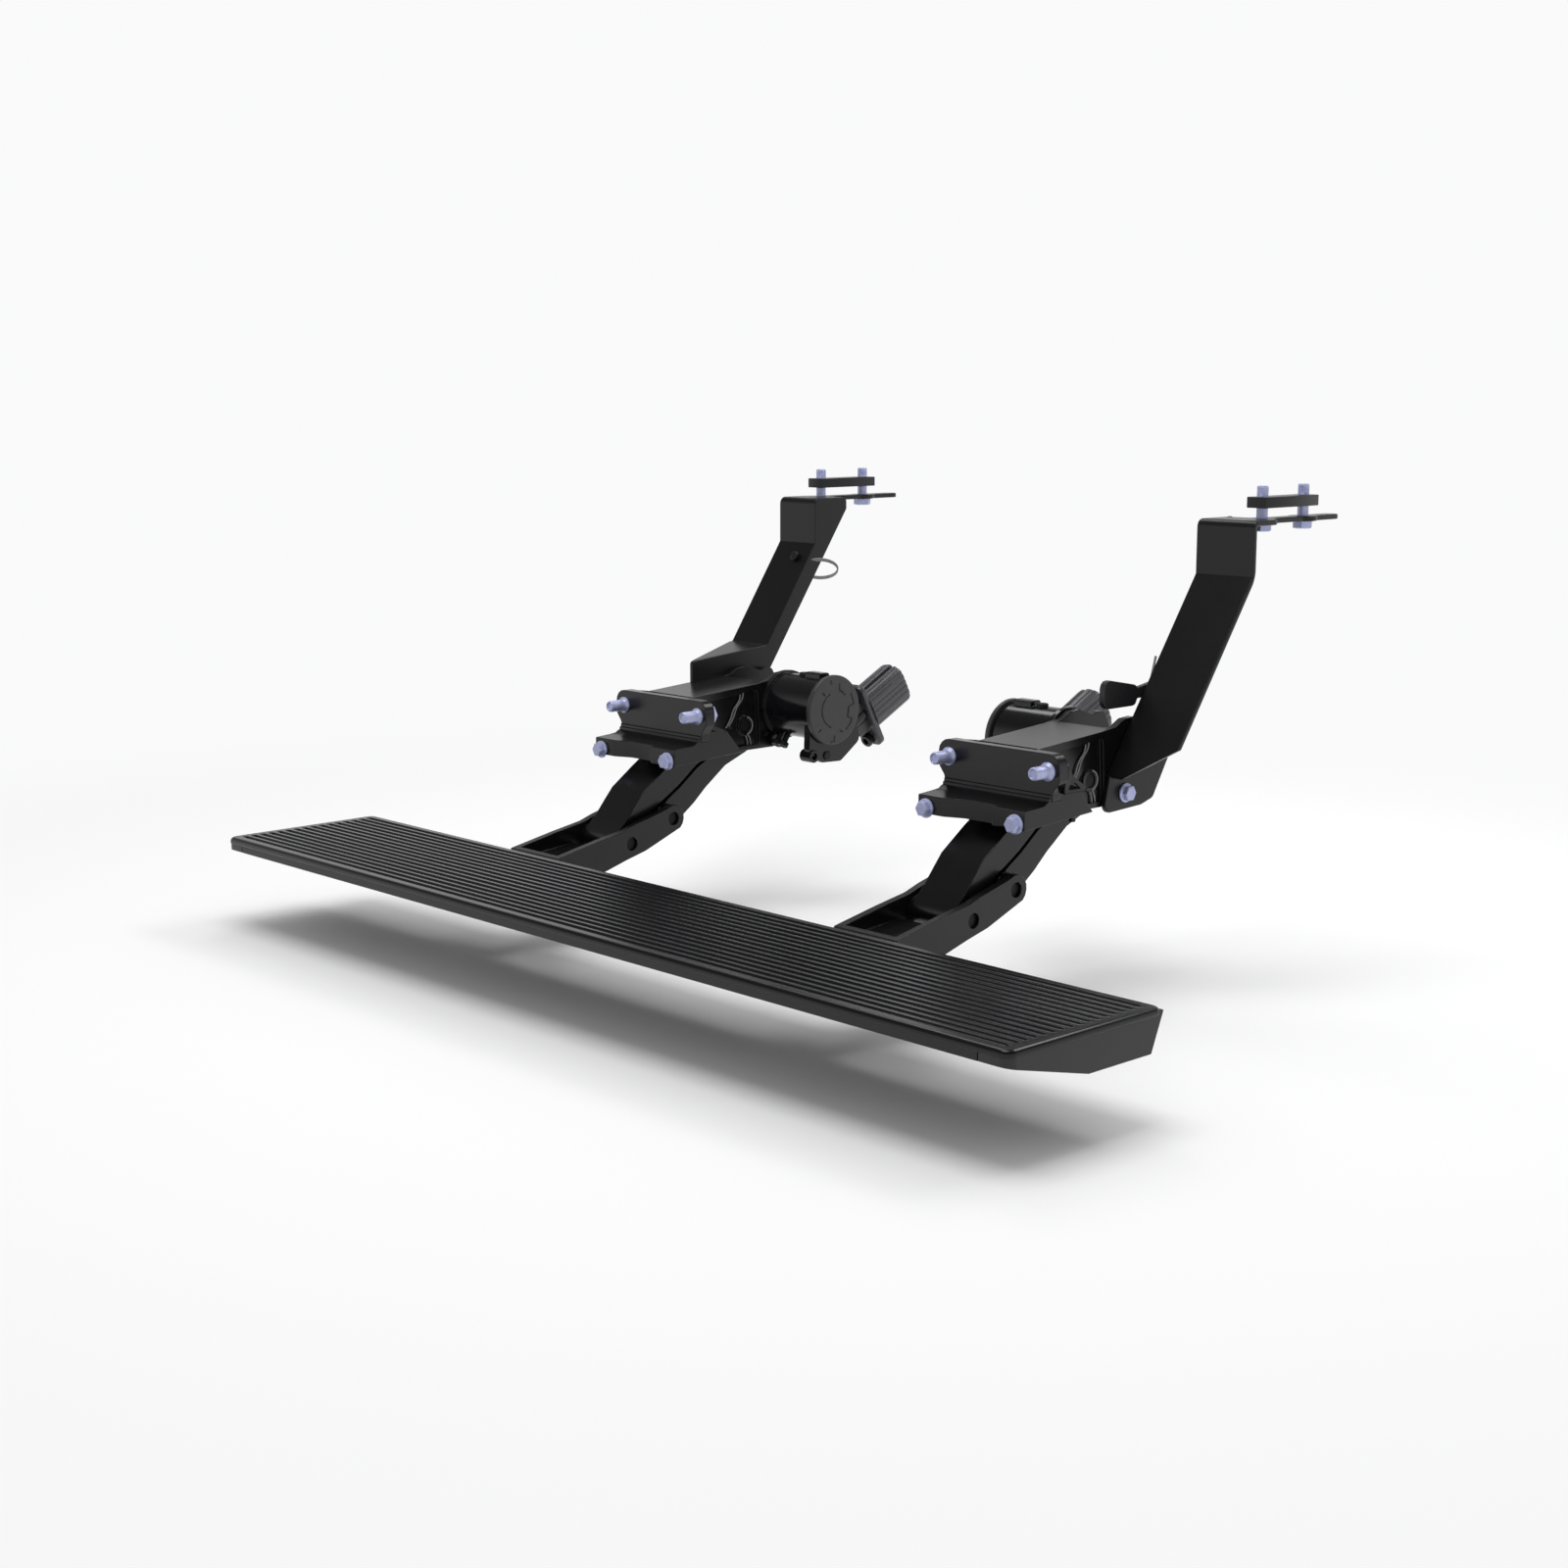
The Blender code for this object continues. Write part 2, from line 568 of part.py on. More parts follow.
def make_housing(side, x, way, size):
    """The cast housing: sill flange, lip, and two walls with the arms between them."""
    front = [(FLANGE_NECK_HALF, FLANGE_BOTTOM, 3.0), (FLANGE_NECK_HALF, FLANGE_NECK_Z, 5.0),
             (FLANGE_HALF, FLANGE_NECK_Z + 9.0, 5.0), (FLANGE_HALF, FLANGE_TOP, 11.0)]
    plate = [(x + a, b, r) for a, b, r in front] + [(x - a, b, r) for a, b, r in reversed(front)]
    housing = slab(side + "_housing", [rounded(plate)], "y", 0.0, FLANGE_THICK, black_casting())
    shelf = [(LIP_FRONT, LIP_BOTTOM), (LIP_FRONT, LIP_TOP)]
    shelf += [(-16.0, LIP_TOP + 1.3), (-8.5, LIP_TOP + 2.1)]
    for step in range(3):
        shelf += [(-4.8 + 1.6 * step, LIP_TOP + 4.5 + 2.8 * step), (-3.2 + 1.6 * step, LIP_TOP + 4.5 + 2.8 * step)]
    shelf += [(8.0, LIP_TOP + 14.1), (34.5, -17.5), (53.5, LIP_BOTTOM + 5.4)]
    fuse(housing, slab(side + "_shelf", [shelf], "x", x - LIP_HALF, x + LIP_HALF))
    box = [(4.0, FLANGE_TOP - 0.6), (BOX_RISE[0], BOX_RISE[1], 10.0)]
    y, z = UPPER_REAR
    box += arc(UPPER_REAR, HUMP_R, 128.0, 62.0) + [(y + 23.0, z + 25.5), (y + 28.0, z + 27.5, 3.0),
                                                  (y + 38.0, z + 27.0, 4.0), (y + 45.5, z + 13.0, 4.0)]
    box += arc(UPPER_REAR, TAIL_R, -5.0, -62.0) + [(118.0, BOX_BOTTOM), (20.0, BOX_BOTTOM), (4.0, -30.0)]
    fuse(housing, slab(side + "_box", [rounded(box)], "x", x - BOX_HALF, x + BOX_HALF))
    web_details(housing, side, x)
    strut_side_web(housing, side, x, way)
    tunnel = [(-22.0, -80.0), (-22.0, -50.0), (12.0, -30.0), (38.0, -16.0), (60.0, -6.0), (70.0, 8.0, 4.0),
              (ROOF_END, 14.0), (ROOF_END, 80.0), (y + 60.0, 80.0), (y + 60.0, -80.0)]
    cut(housing, slab(side + "_tunnel", [rounded(tunnel)], "x", x - BOX_CAVITY_HALF, x + BOX_CAVITY_HALF))
    recess = [(x - 33.2, LIP_FRONT - 1.0), (x - 10.7, LIP_FRONT + 6.0),
              (x + 24.0, LIP_FRONT + 6.0), (x + 24.0, LIP_FRONT - 1.0)]
    cut(housing, slab(side + "_recess", [recess], "z", -60.0, -20.0))
    for label, pivot in (("front", UPPER_FRONT), ("rear", UPPER_REAR)):
        cut(housing, rod(f"{side}_{label}_pivot_bore", (x - 60.0, *pivot), (1, 0, 0), PIN_R + RUN, 120.0))
    bolt_y, bolt_z = strut_bolt_place(size)
    cut(housing, rod(side + "_strut_thread", (x - way * (BOX_HALF + 5.0), bolt_y, bolt_z), (way, 0, 0),
                     4.0 + SEAT, 20.0))
    for i, sign in enumerate((-1, 1)):
        cut(housing, rod(f"{side}_sill_hole_{i}", (x + sign * BOLT_SPREAD / 2.0, -5.0, 0.0), (0, 1, 0),
                         HOLE_R, 40.0))
        cut(housing, rod(f"{side}_lip_hole_{i}", (x + sign * LIP_BOLT_SPREAD / 2.0, LIP_FRONT - 5.0, LIP_BOLT_Z),
                         (0, 1, 0), 4.0 + SEAT, 30.0))
    if way < 0:
        add_stop(housing, side, x)
    return housing


def web_details(housing, side, x):
    """Sunk webs with their ribs and pivot boss, gussets and the hollow wings."""
    floor = BOX_HALF - WEB_POCKET
    pocket = rounded([(16.0, 7.0, 3.0), (96.0, 15.0, 3.0), (99.0, BOX_BOTTOM + 5.0, 3.0),
                      (54.0, BOX_BOTTOM + 5.0, 3.0), (42.0, -21.0, 3.0), (16.0, -12.0, 3.0)])
    for i, sign in enumerate((-1, 1)):
        ends = sorted((x + sign * floor, x + sign * (BOX_HALF + 5.0)))
        cut(housing, slab(f"{side}_web_pocket_{i}", [pocket], "x", *ends))
    proud = floor + WEB_RIB
    upper = [(79.5, 13.5), (78.5, 7.0), (70.0, -1.0), (67.0, -10.0), (60.5, -18.0)]
    lower = [(84.0, -27.0), (88.6, -33.0), (89.4, BOX_BOTTOM + 2.2)]
    for i, path in enumerate((upper, lower)):
        fuse(housing, slab(f"{side}_web_rib_{i}", [thick_path(path, 5.0)], "x", x - proud, x + proud))
    fuse(housing, rod(side + "_pivot_boss", (x - proud - 1.0, *UPPER_FRONT), (1, 0, 0), BOSS_R,
                      2.0 * (proud + 1.0), sides=16))
    gusset = [(8.0, -10.0), (17.0, -10.0), (34.5, -17.0), (24.0, -17.0), (13.0, -14.0), (8.0, -14.0)]
    hollow = rounded([(x + 38.0, -23.0, 3.0), (x + 54.5, -23.0, 3.0), (x + 54.5, 34.0, 3.0), (x + 38.0, 34.0, 3.0)])
    mirrored = [(2.0 * x - a, b) for a, b in reversed(hollow)]
    for i, (sign, plan) in enumerate(((-1, mirrored), (1, hollow))):
        ends = sorted((x + sign * (LIP_HALF - GUSSET_THICK), x + sign * LIP_HALF))
        fuse(housing, slab(f"{side}_gusset_{i}", [gusset], "x", *ends))
        cut(housing, slab(f"{side}_wing_hollow_{i}", [plan], "z", -70.0, -32.0))


def strut_side_web(housing, side, x, way):
    """The web from the flange's edge down to the wing, on the side where the strut stands."""
    web = [(FLANGE_THICK - 3.0, 5.0), (FLANGE_THICK + 2.0, 5.0), (FLANGE_THICK + 8.0, -5.0), (30.0, -11.5),
           (36.5, -15.0), (34.0, LIP_TOP + 11.0), (FLANGE_THICK - 3.0, LIP_TOP + 11.0)]
    gap = [(FLANGE_THICK + 1.5, -15.2), (FLANGE_THICK + 4.5, -10.5), (FLANGE_THICK + 9.5, -10.0), (27.5, -15.2)]
    outer = x - way * (FLANGE_HALF - 0.6)
    ends = sorted((outer, outer + way * 2.8))
    fuse(housing, slab(side + "_flange_web", [web, gap], "x", *ends))
    ends = sorted((outer + way * 0.3, x - way * (LIP_HALF - 3.0)))
    ledge = [(FLANGE_THICK - 2.6, -15.8), (36.0, -15.8), (34.0, LIP_TOP + 10.6), (FLANGE_THICK - 2.6, LIP_TOP + 10.6)]
    fuse(housing, slab(side + "_web_ledge", [ledge], "x", *ends))


def add_stop(housing, side, x):
    """A tapered stop that hangs under the housing's outer wall."""
    reach = (BOX_HALF + BOX_CAVITY_HALF) / 2.0
    fuse(housing, turned(side + "_stop", [(0.0, 11.0), (2.8, 11.0), (3.5, 0.0), (0.0, 0.0)],
                         (x + reach, 62.0, BOX_BOTTOM + 2.0), (0, 0, -1), steps=12))


def sill_fasteners(side, x):
    """The bolts that stand out of the sill flange, each with its collar."""
    pieces = []
    for i, sign in enumerate((-1, 1)):
        place = x + sign * BOLT_SPREAD / 2.0
        bolt = rod(f"{side}_sill_bolt_{i + 1}", (place, -SILL_BOLT_OUT, 0.0), (0, 1, 0), BOLT_R,
                   SILL_BOLT_OUT + FLANGE_THICK + 3.0, zinc())
        fuse(bolt, rod(f"{side}_sill_head_{i}", (place, FLANGE_THICK + SEAT, 0.0), (0, 1, 0), HEX_R, 7.0, sides=6))
        collar = slab(f"{side}_sill_collar_{i + 1}", [circle((place, 0.0), COLLAR_R), circle((place, 0.0), HOLE_R)],
                      "y", -SEAT - COLLAR_THICK, -SEAT, zinc())
        pieces += [bolt, collar]
    return pieces


def flange_bolt(name, base, direction, length):
    """A hex bolt with a round flange under its head; base is the face it clamps."""
    way = Vector(direction)
    start = Vector(base)
    bolt = rod(name, start - way * length, way, 4.0, length + 3.0, zinc())
    fuse(bolt, rod(name + "_flange", start + way * SEAT, way, 8.2, 1.8, sides=16))
    fuse(bolt, rod(name + "_hex", start + way * (SEAT + 1.2), way, 6.8, 5.4, sides=6))
    return bolt


def make_drive(side, x, way):
    """The worm gearbox on the housing's side, with its motor."""
    y, z = UPPER_REAR
    tilt = math.radians(MOTOR_TILT)
    axis = Vector((0.0, math.cos(tilt), math.sin(tilt)))
    drop = Vector((0.0, math.sin(tilt), -math.cos(tilt)))
    tube_foot = Vector((x + way * WORM_X, y, z)) + drop * WORM_DROP
    inner = BOX_HALF + SEAT
    case = turned(side + "_gear_case",
                  [(0.0, CASE_OUT), (CASE_R, CASE_OUT), (CASE_R, inner + CASE_RING),
                   (CASE_R + 2.5, inner + CASE_RING), (CASE_R + 2.5, inner), (0.0, inner)],
                  (x, y, z), (way, 0, 0), black_casting(), steps=32)
    fuse(case, rod(side + "_worm_tube", tube_foot - axis * 30.0, axis, WORM_TUBE_R,
                   30.0 + MOTOR_FLANGE_AT - SEAT, sides=16))
    fuse(case, *case_lugs(side, x, way, tube_foot, axis, drop))
    cut(case, rod(side + "_shaft_bore", (x, y, z), (way, 0, 0), SHAFT_R + RUN, SHAFT_REACH + RUN))
    cover = turned(side + "_gear_cover",
                   [(0.0, COVER_THICK), (COVER_R - 1.5, COVER_THICK), (COVER_R, COVER_THICK - 1.5),
                    (COVER_R, 0.0), (0.0, 0.0)],
                   (x + way * (CASE_OUT + SEAT), y, z), (way, 0, 0), black_casting(), steps=32)
    shaft = turned(side + "_output_shaft",
                   [(0.0, SHAFT_REACH), (SHAFT_R, SHAFT_REACH), (SHAFT_R, inner + SHAFT_STEP),
                    (PIN_R, inner + SHAFT_STEP), (PIN_R, 1.0 - BOX_HALF), (0.0, 1.0 - BOX_HALF)],
                   (x, y, z), (way, 0, 0), steel(), steps=20)
    motor = fluted_can(side + "_motor", tube_foot + axis * MOTOR_FLANGE_AT, axis)
    return dict(case=case, cover=cover, shaft=shaft, motor=motor)


def case_lugs(side, x, way, foot, axis, drop):
    """The ear plate behind the cover, the block on top and the brace to the motor."""
    y, z = UPPER_REAR
    ears = rounded([(y - 28.0, z - 12.0), (y - 29.0, z - 40.0, 7.0), (y - 12.0, z - 51.0, 7.0),
                    (y + 14.0, z - 52.0, 7.0), (y + 41.0, z - 33.0, 7.0), (y + 30.0, z - 6.0)])
    block = rounded([(y - 9.0, z + 20.0), (y + 5.0, z + 20.0), (y + 5.0, z + CASE_R + 4.5, 2.5),
                     (y - 9.0, z + CASE_R + 4.5, 2.5)])
    brace = [foot + axis * s + drop * t for s, t in ((-6.0, -12.0), (MOTOR_FLANGE_AT - 1.5, -17.0),
                                                     (MOTOR_FLANGE_AT - 1.5, 17.0), (24.0, 12.0), (-6.0, 12.0))]
    pieces = []
    for label, outline, near, far in (("ears", ears, CASE_OUT - 8.0, CASE_OUT), ("block", block, 72.0, 92.0),
                                      ("brace", [(p.y, p.z) for p in brace], WORM_X - 6.0, WORM_X + 6.0)):
        ends = sorted((x + way * near, x + way * far))
        pieces.append(slab(f"{side}_case_{label}", [outline], "x", *ends))
    return pieces


def fluted_can(name, base, axis):
    """The motor: a lozenge flange and a can with flutes along it."""
    turn = along(axis)
    square = turn.to_3x3().inverted() @ Vector((0.0, -axis.z, axis.y))
    lean = math.atan2(square.y, square.x)
    outline = []
    for i in range(FLUTE_COUNT * 4):
        depth = FLUTE_DEPTH if i % 4 in (1, 2) else 0.0
        angle = 2.0 * math.pi * i / (FLUTE_COUNT * 4)
        outline.append(((MOTOR_R - depth) * math.cos(angle), (MOTOR_R - depth) * math.sin(angle)))
    can = slab(name, [outline], "z", MOTOR_FLANGE_THICK - 1.0, MOTOR_FLANGE_THICK + MOTOR_LENGTH, motor_grey())
    plate = rounded([(24.0, 12.0, 6.0), (24.0, -12.0, 6.0), (9.0, -23.0, 8.0), (-16.0, -23.0, 8.0),
                     (-41.0, -9.0, 7.0), (-41.0, 9.0, 7.0), (-16.0, 23.0, 8.0), (9.0, 23.0, 8.0)])
    flange = slab(name + "_flange", [plate], "z", SEAT, MOTOR_FLANGE_THICK)
    move = Matrix.Translation(base * MM) @ turn
    can.matrix_world = move @ can.matrix_world
    flange.matrix_world = move @ Matrix.Rotation(lean, 4, "Z") @ flange.matrix_world
    fuse(can, flange)
    return can


def strip_path(size):
    """Centre line of the strut's folded strip, as (y, z), from the top plate down."""
    path = [(size["bolt_y"] - 20.0, size["top"][1]), size["top"], size["bend"], size["foot"]]
    if size["shelf"]:
        path.append(size["shelf"])
    return path


def thick_path(path, thick):
    """A closed outline of constant thickness on the right of a path."""
    shifted = []
    for i, point in enumerate(path):
        here = Vector(point)
        normals = []
        if i > 0:
            step = (here - Vector(path[i - 1])).normalized()
            normals.append(Vector((-step.y, step.x)))
        if i < len(path) - 1:
            step = (Vector(path[i + 1]) - here).normalized()
            normals.append(Vector((-step.y, step.x)))
        if len(normals) == 2:
            middle = (normals[0] + normals[1]).normalized()
            shifted.append(tuple(here + middle * (thick / middle.dot(normals[0]))))
        else:
            shifted.append(tuple(here + normals[0] * thick))
    return list(path) + shifted[::-1]


def across(x, way, distance):
    return x - way * (STRUT_PLANE + distance)


def make_strut(side, x, way, size):
    """The folded plate from the housing's side up to the vehicle frame."""
    top_y, top_z = size["top"]
    width = size["width"]
    ends = sorted((across(x, way, 0.0), across(x, way, width)))
    strut = slab(side + "_strut", [thick_path(strip_path(size), PLATE)], "x", *ends, material=black_sheet())
    web = strut_web(size)
    sides = sorted((across(x, way, 0.0), across(x, way, PLATE)))
    fuse(strut, slab(side + "_strut_web", [web], "x", *sides))
    first = size["bolt_y"]
    second = first + CLAMP_PITCH
    tip = second + size["tongue"] - 8.0
    line = CLAMP_ACROSS
    plan = [(0.0, top_y + 0.5), (width, top_y + 0.5), (width, first - 9.0), *arc((line, first), 13.0, 0.0, 52.0)]
    plan += arc((line, second), 13.0, -52.0, 52.0) + arc((line, tip), 8.0, 0.0, 180.0)
    plan += arc((line, second), 13.0, 128.0, 232.0) + arc((line, first), 13.0, 128.0, 180.0) + [(0.0, first)]
    loops = [plan, circle((line, first), HOLE_R), circle((line, second), HOLE_R)]
    loops = [[(across(x, way, a), b) for a, b in loop] for loop in loops]
    fuse(strut, slab(side + "_top_plate", loops, "z", top_z - PLATE, top_z))
    if size["shelf"]:
        far = [(across(x, way, width + 1.0), size["foot"][0] - 2.0), (across(x, way, PLATE), size["shelf"][0] - 2.0),
               (across(x, way, width + 1.0), size["shelf"][0] - 2.0)]
        cut(strut, slab(side + "_shelf_cut", [far], "z", size["shelf"][1] - 30.0, size["foot"][1] + 4.0))
    else:
        low = size["foot"][1]
        slope = [(across(x, way, PLATE + 2.0), low - 8.0), (across(x, way, width + 1.0), low - 8.0),
                 (across(x, way, width + 1.0), low + 27.0)]
        cut(strut, slab(side + "_strut_end", [slope], "y", size["foot"][0] - 60.0, size["foot"][0] + 60.0))
    bolt_y, bolt_z = strut_bolt_place(size)
    cut(strut, rod(side + "_strut_hole", (across(x, way, -10.0), bolt_y, bolt_z), (-way, 0, 0), 4.0 + SEAT,
                   60.0 if size["shelf"] is None else 20.0, sides=16))
    return strut


def strut_web(size):
    """The strut's flat web beside the housing, as (y, z)."""
    top_y, top_z = size["top"]
    bend_y, bend_z = size["bend"]
    foot_y, foot_z = size["foot"]
    back = top_y + 46.0
    if size["shelf"]:
        shelf_y, shelf_z = size["shelf"]
        return rounded([(top_y, top_z - 0.5), (bend_y, bend_z), (foot_y, foot_z), (shelf_y, shelf_z),
                        (shelf_y - 3.5, shelf_z - 1.0, 3.0), (shelf_y - 3.5, -38.0, 6.0), (140.0, -38.0, 8.0),
                        (back - 108.0, 24.7),
                        (back, top_z - 12.0), (back, top_z - 0.5)])
    return rounded([(top_y, top_z - 0.5), (bend_y, bend_z), (foot_y, foot_z, 10.0), (foot_y - 7.4, -49.7, 7.0),
                    (144.0, -47.5, 3.0), (160.0, -43.0, 6.0), (180.7, -9.3), (back, bend_z), (back, top_z - 0.5)])


def strut_bolt_place(size):
    return (121.0, -34.0) if size["shelf"] is None else (110.0, -20.0)


def wire_clip(side, x, way):
    """A plastic plate on the strut's inner face that carries the motor's lead."""
    plate = rounded([(96.0, 39.0, 7.0), (139.0, 39.0, 5.0), (141.0, 45.0), (166.0, 45.0, 3.0), (166.0, 58.0, 3.0),
                     (141.0, 54.0), (139.0, 57.0, 5.0), (96.0, 65.0, 7.0)])
    ends = sorted((across(x, way, -6.0), across(x, way, -SEAT)))
    return slab(side + "_wire_clip", [plate], "x", *ends, material=finish("clip_plastic", (0.02, 0.02, 0.02), 0.6, 0.0))


def clamp(side, x, way, size):
    """The tapped bar above the strut's top plate and the two bolts that draw it down."""
    wide, long, thick = CLAMP_BAR
    line = across(x, way, CLAMP_ACROSS)
    first = size["bolt_y"]
    second = first + CLAMP_PITCH
    middle = (first + second) / 2.0
    low = size["top"][1] + CLAMP_LIFT
    bar = slab(side + "_clamp_bar",
               [rounded([(line - wide / 2, middle - long / 2, 1.0), (line + wide / 2, middle - long / 2, 1.0),
                         (line + wide / 2, middle + long / 2, 1.0), (line - wide / 2, middle + long / 2, 1.0)]),
                circle((line, first), HOLE_R), circle((line, second), HOLE_R)], "z", low, low + thick,
               black_sheet())
    pieces = [bar]
    for i, y in enumerate((first, second)):
        under = size["top"][1] - PLATE - SEAT
        bolt = rod(f"{side}_clamp_bolt_{i + 1}", (line, y, under - 1.0), (0, 0, 1), BOLT_R,
                   PLATE + SEAT + 1.0 + CLAMP_BOLT_RISE, zinc())
        fuse(bolt, rod(f"{side}_clamp_head_{i}", (line, y, under - 6.5), (0, 0, 1), HEX_R, 6.5, sides=6))
        pieces.append(bolt)
    return pieces


def main():
    start_scene()
    step = carrier("step", (0.0, *LOWER_FRONT))
    hang(step, *make_board())
    for side, x, way, size in (("left", 0.0, 1, LEFT_STRUT), ("right", LINK_SPACING, -1, RIGHT_STRUT)):
        fixed = carrier(side + "_mounting", (x, 0.0, 0.0))
        front = carrier(side + "_front_swing", (x, *UPPER_FRONT))
        rear = carrier(side + "_rear_swing", (x, *UPPER_REAR))
        hang(step, *make_step_bracket(side, x))
        hang(step, make_pin(side + "_lower_front_pin", x, LOWER_FRONT, BRACKET_HALF - 3.0))
        hang(step, make_pin(side + "_lower_rear_pin", x, LOWER_REAR, BRACKET_HALF - 3.0))
        hang(front, make_front_arm(side, x))
        hang(rear, make_rear_arm(side, x))
        hang(fixed, make_housing(side, x, way, size), *sill_fasteners(side, x))
        hang(fixed, make_pin(side + "_upper_front_pin", x, UPPER_FRONT, BOX_HALF - 2.0))
        for i, sign in enumerate((-1, 1)):
            hang(fixed, flange_bolt(f"{side}_lip_bolt_{i + 1}",
                                    (x + sign * LIP_BOLT_SPREAD / 2.0, LIP_FRONT, LIP_BOLT_Z), (0, -1, 0), 20.0))
        drive = make_drive(side, x, way)
        hang(fixed, drive["case"], drive["cover"], drive["motor"])
        hang(rear, drive["shaft"])
        hang(fixed, make_strut(side, x, way, size), *clamp(side, x, way, size))
        bolt_y, bolt_z = strut_bolt_place(size)
        if way < 0:
            hang(fixed, wire_clip(side, x, way))
        hang(fixed, flange_bolt(side + "_strut_bolt", (across(x, way, PLATE), bolt_y, bolt_z), (-way, 0, 0), 11.0))


main()
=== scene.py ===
"""Electric side step: finishes, rounded castings, ribbed tread, fasteners, light and camera."""
import json
import math

import bmesh
import bpy
import numpy as np
from mathutils import Matrix, Vector


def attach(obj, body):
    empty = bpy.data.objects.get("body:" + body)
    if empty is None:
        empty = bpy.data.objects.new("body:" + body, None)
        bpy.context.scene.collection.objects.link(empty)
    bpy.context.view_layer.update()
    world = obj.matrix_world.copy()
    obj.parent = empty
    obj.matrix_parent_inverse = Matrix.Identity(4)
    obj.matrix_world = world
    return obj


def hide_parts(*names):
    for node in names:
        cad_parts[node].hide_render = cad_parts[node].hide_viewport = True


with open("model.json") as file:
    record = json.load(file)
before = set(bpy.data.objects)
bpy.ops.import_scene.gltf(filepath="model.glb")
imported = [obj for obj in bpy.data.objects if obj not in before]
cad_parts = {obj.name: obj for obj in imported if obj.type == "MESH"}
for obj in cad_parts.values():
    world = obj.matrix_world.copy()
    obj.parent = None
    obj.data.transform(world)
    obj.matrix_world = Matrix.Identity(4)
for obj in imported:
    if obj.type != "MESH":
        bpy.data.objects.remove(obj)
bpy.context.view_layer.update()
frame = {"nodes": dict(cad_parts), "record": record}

MM = 0.001
LINK_SPACING = 433.6
FLOOR_Z = -206.0
# each link's side, its place along X and the way that its gear case faces
SIDES = (("left", 0.0, 1), ("right", LINK_SPACING, -1))

# the drive's axis as (y, z) at rest, and the worm's axis beside and below it
SHAFT_AT = (133.4, -1.9)
WORM_X = 88.0
WORM_DROP = 32.3
MOTOR_TILT = 27.8

# the upper front pivot's boss on the housing's webs, as (y, z)
BOSS_AT = (81.8, -19.7)

# the tread, seen from above
TREAD_LEFT, TREAD_RIGHT = -267.2, 730.5
TREAD_FRONT, TREAD_BACK = -321.0, -156.0
TREAD_TOP = -119.1
TREAD_SEAT = -121.2
TREAD_SKIRT = TREAD_SEAT - 0.3

# the tread's frame and its grooves
TREAD_INSET, TREAD_CORNER = 4.2, 8.6
GROOVE_WIDTH, GROOVE_DEPTH, GROOVE_PITCH, GROOVE_COUNT = 6.2, 1.45, 9.35, 16
FIRST_GROOVE, GROOVE_END_GAP = 8.2, 6.5
GROOVE_WALL = 0.42  # the share of half its width that a groove's wall takes
TREAD_POINTS = (151, 301)

# thickness of the struts' plate, and the rounding of its corners
SHEET = 4.5
SHEET_CORNER = 5.5

# the struts' bolts as (y, z), and the first clamp bolts as (x, y, z)
STRUT_BOLT_AT = {"left": (110.0, -20.0), "right": (121.0, -34.0)}
CLAMP_BOLT_AT = {"left": (-70.5, 283.6, 189.2), "right": (504.1, 260.9, 190.8)}
SILL_BOLT_OUT, LIP_BOLT_OUT, CLAMP_BOLT_GAP = 54.55, 49.35, 61.5
THREAD_PITCH = 1.25


class Nodes:
    """A node tree under construction, with one method for every node it needs."""

    def __init__(self, tree):
        self.tree = tree

    def node(self, kind, settings=None, **sockets):
        """Makes a node, sets its settings first and then fills its sockets."""
        made = self.tree.nodes.new(kind)
        for key, value in (settings or {}).items():
            setattr(made, key, value)
        for key, value in sockets.items():
            self.fill(made.inputs[key.replace("_", " ")], value)
        return made

    def fill(self, slot, value):
        """Links a socket or a term to a slot, or sets its value."""
        if isinstance(value, Term):
            self.tree.links.new(value.socket, slot)
        elif isinstance(value, bpy.types.NodeSocket):
            self.tree.links.new(value, slot)
        else:
            slot.default_value = value


class Term:
    """One number of a node tree, so that masks and heights read as plain sums."""

    def __init__(self, tree, socket):
        self.tree = tree
        self.socket = socket

    def _math(self, operation, *others, swapped=False):
        node = self.tree.nodes.new("ShaderNodeMath")
        node.operation = operation
        values = (others[0], self) if swapped else (self, *others)
        for slot, value in zip(node.inputs, values):
            if isinstance(value, Term):
                self.tree.links.new(value.socket, slot)
            else:
                slot.default_value = value
        return Term(self.tree, node.outputs[0])

    def __add__(self, other):
        return self._math("ADD", other)

    def __radd__(self, other):
        return self._math("ADD", other, swapped=True)

    def __sub__(self, other):
        return self._math("SUBTRACT", other)

    def __rsub__(self, other):
        return self._math("SUBTRACT", other, swapped=True)

    def __mul__(self, other):
        return self._math("MULTIPLY", other)

    def __rmul__(self, other):
        return self._math("MULTIPLY", other, swapped=True)

    def __truediv__(self, other):
        return self._math("DIVIDE", other)

    def __rtruediv__(self, other):
        return self._math("DIVIDE", other, swapped=True)

    def __neg__(self):
        return self._math("MULTIPLY", -1.0)

    def __abs__(self):
        return self._math("ABSOLUTE")

    def above(self, level):
        return self._math("GREATER_THAN", level)

    def power(self, exponent):
        return self._math("POWER", exponent)

    def least(self, other):
        return self._math("MINIMUM", other)

    def most(self, other):
        return self._math("MAXIMUM", other)

    def sign(self):
        return self._math("SIGN")

    def rounded(self):
        return self._math("ROUND")

    def eased(self):
        """Zero to one with a soft start and end."""
        held = self.most(0.0).least(1.0)
        return held * held * (3.0 - 2.0 * held)


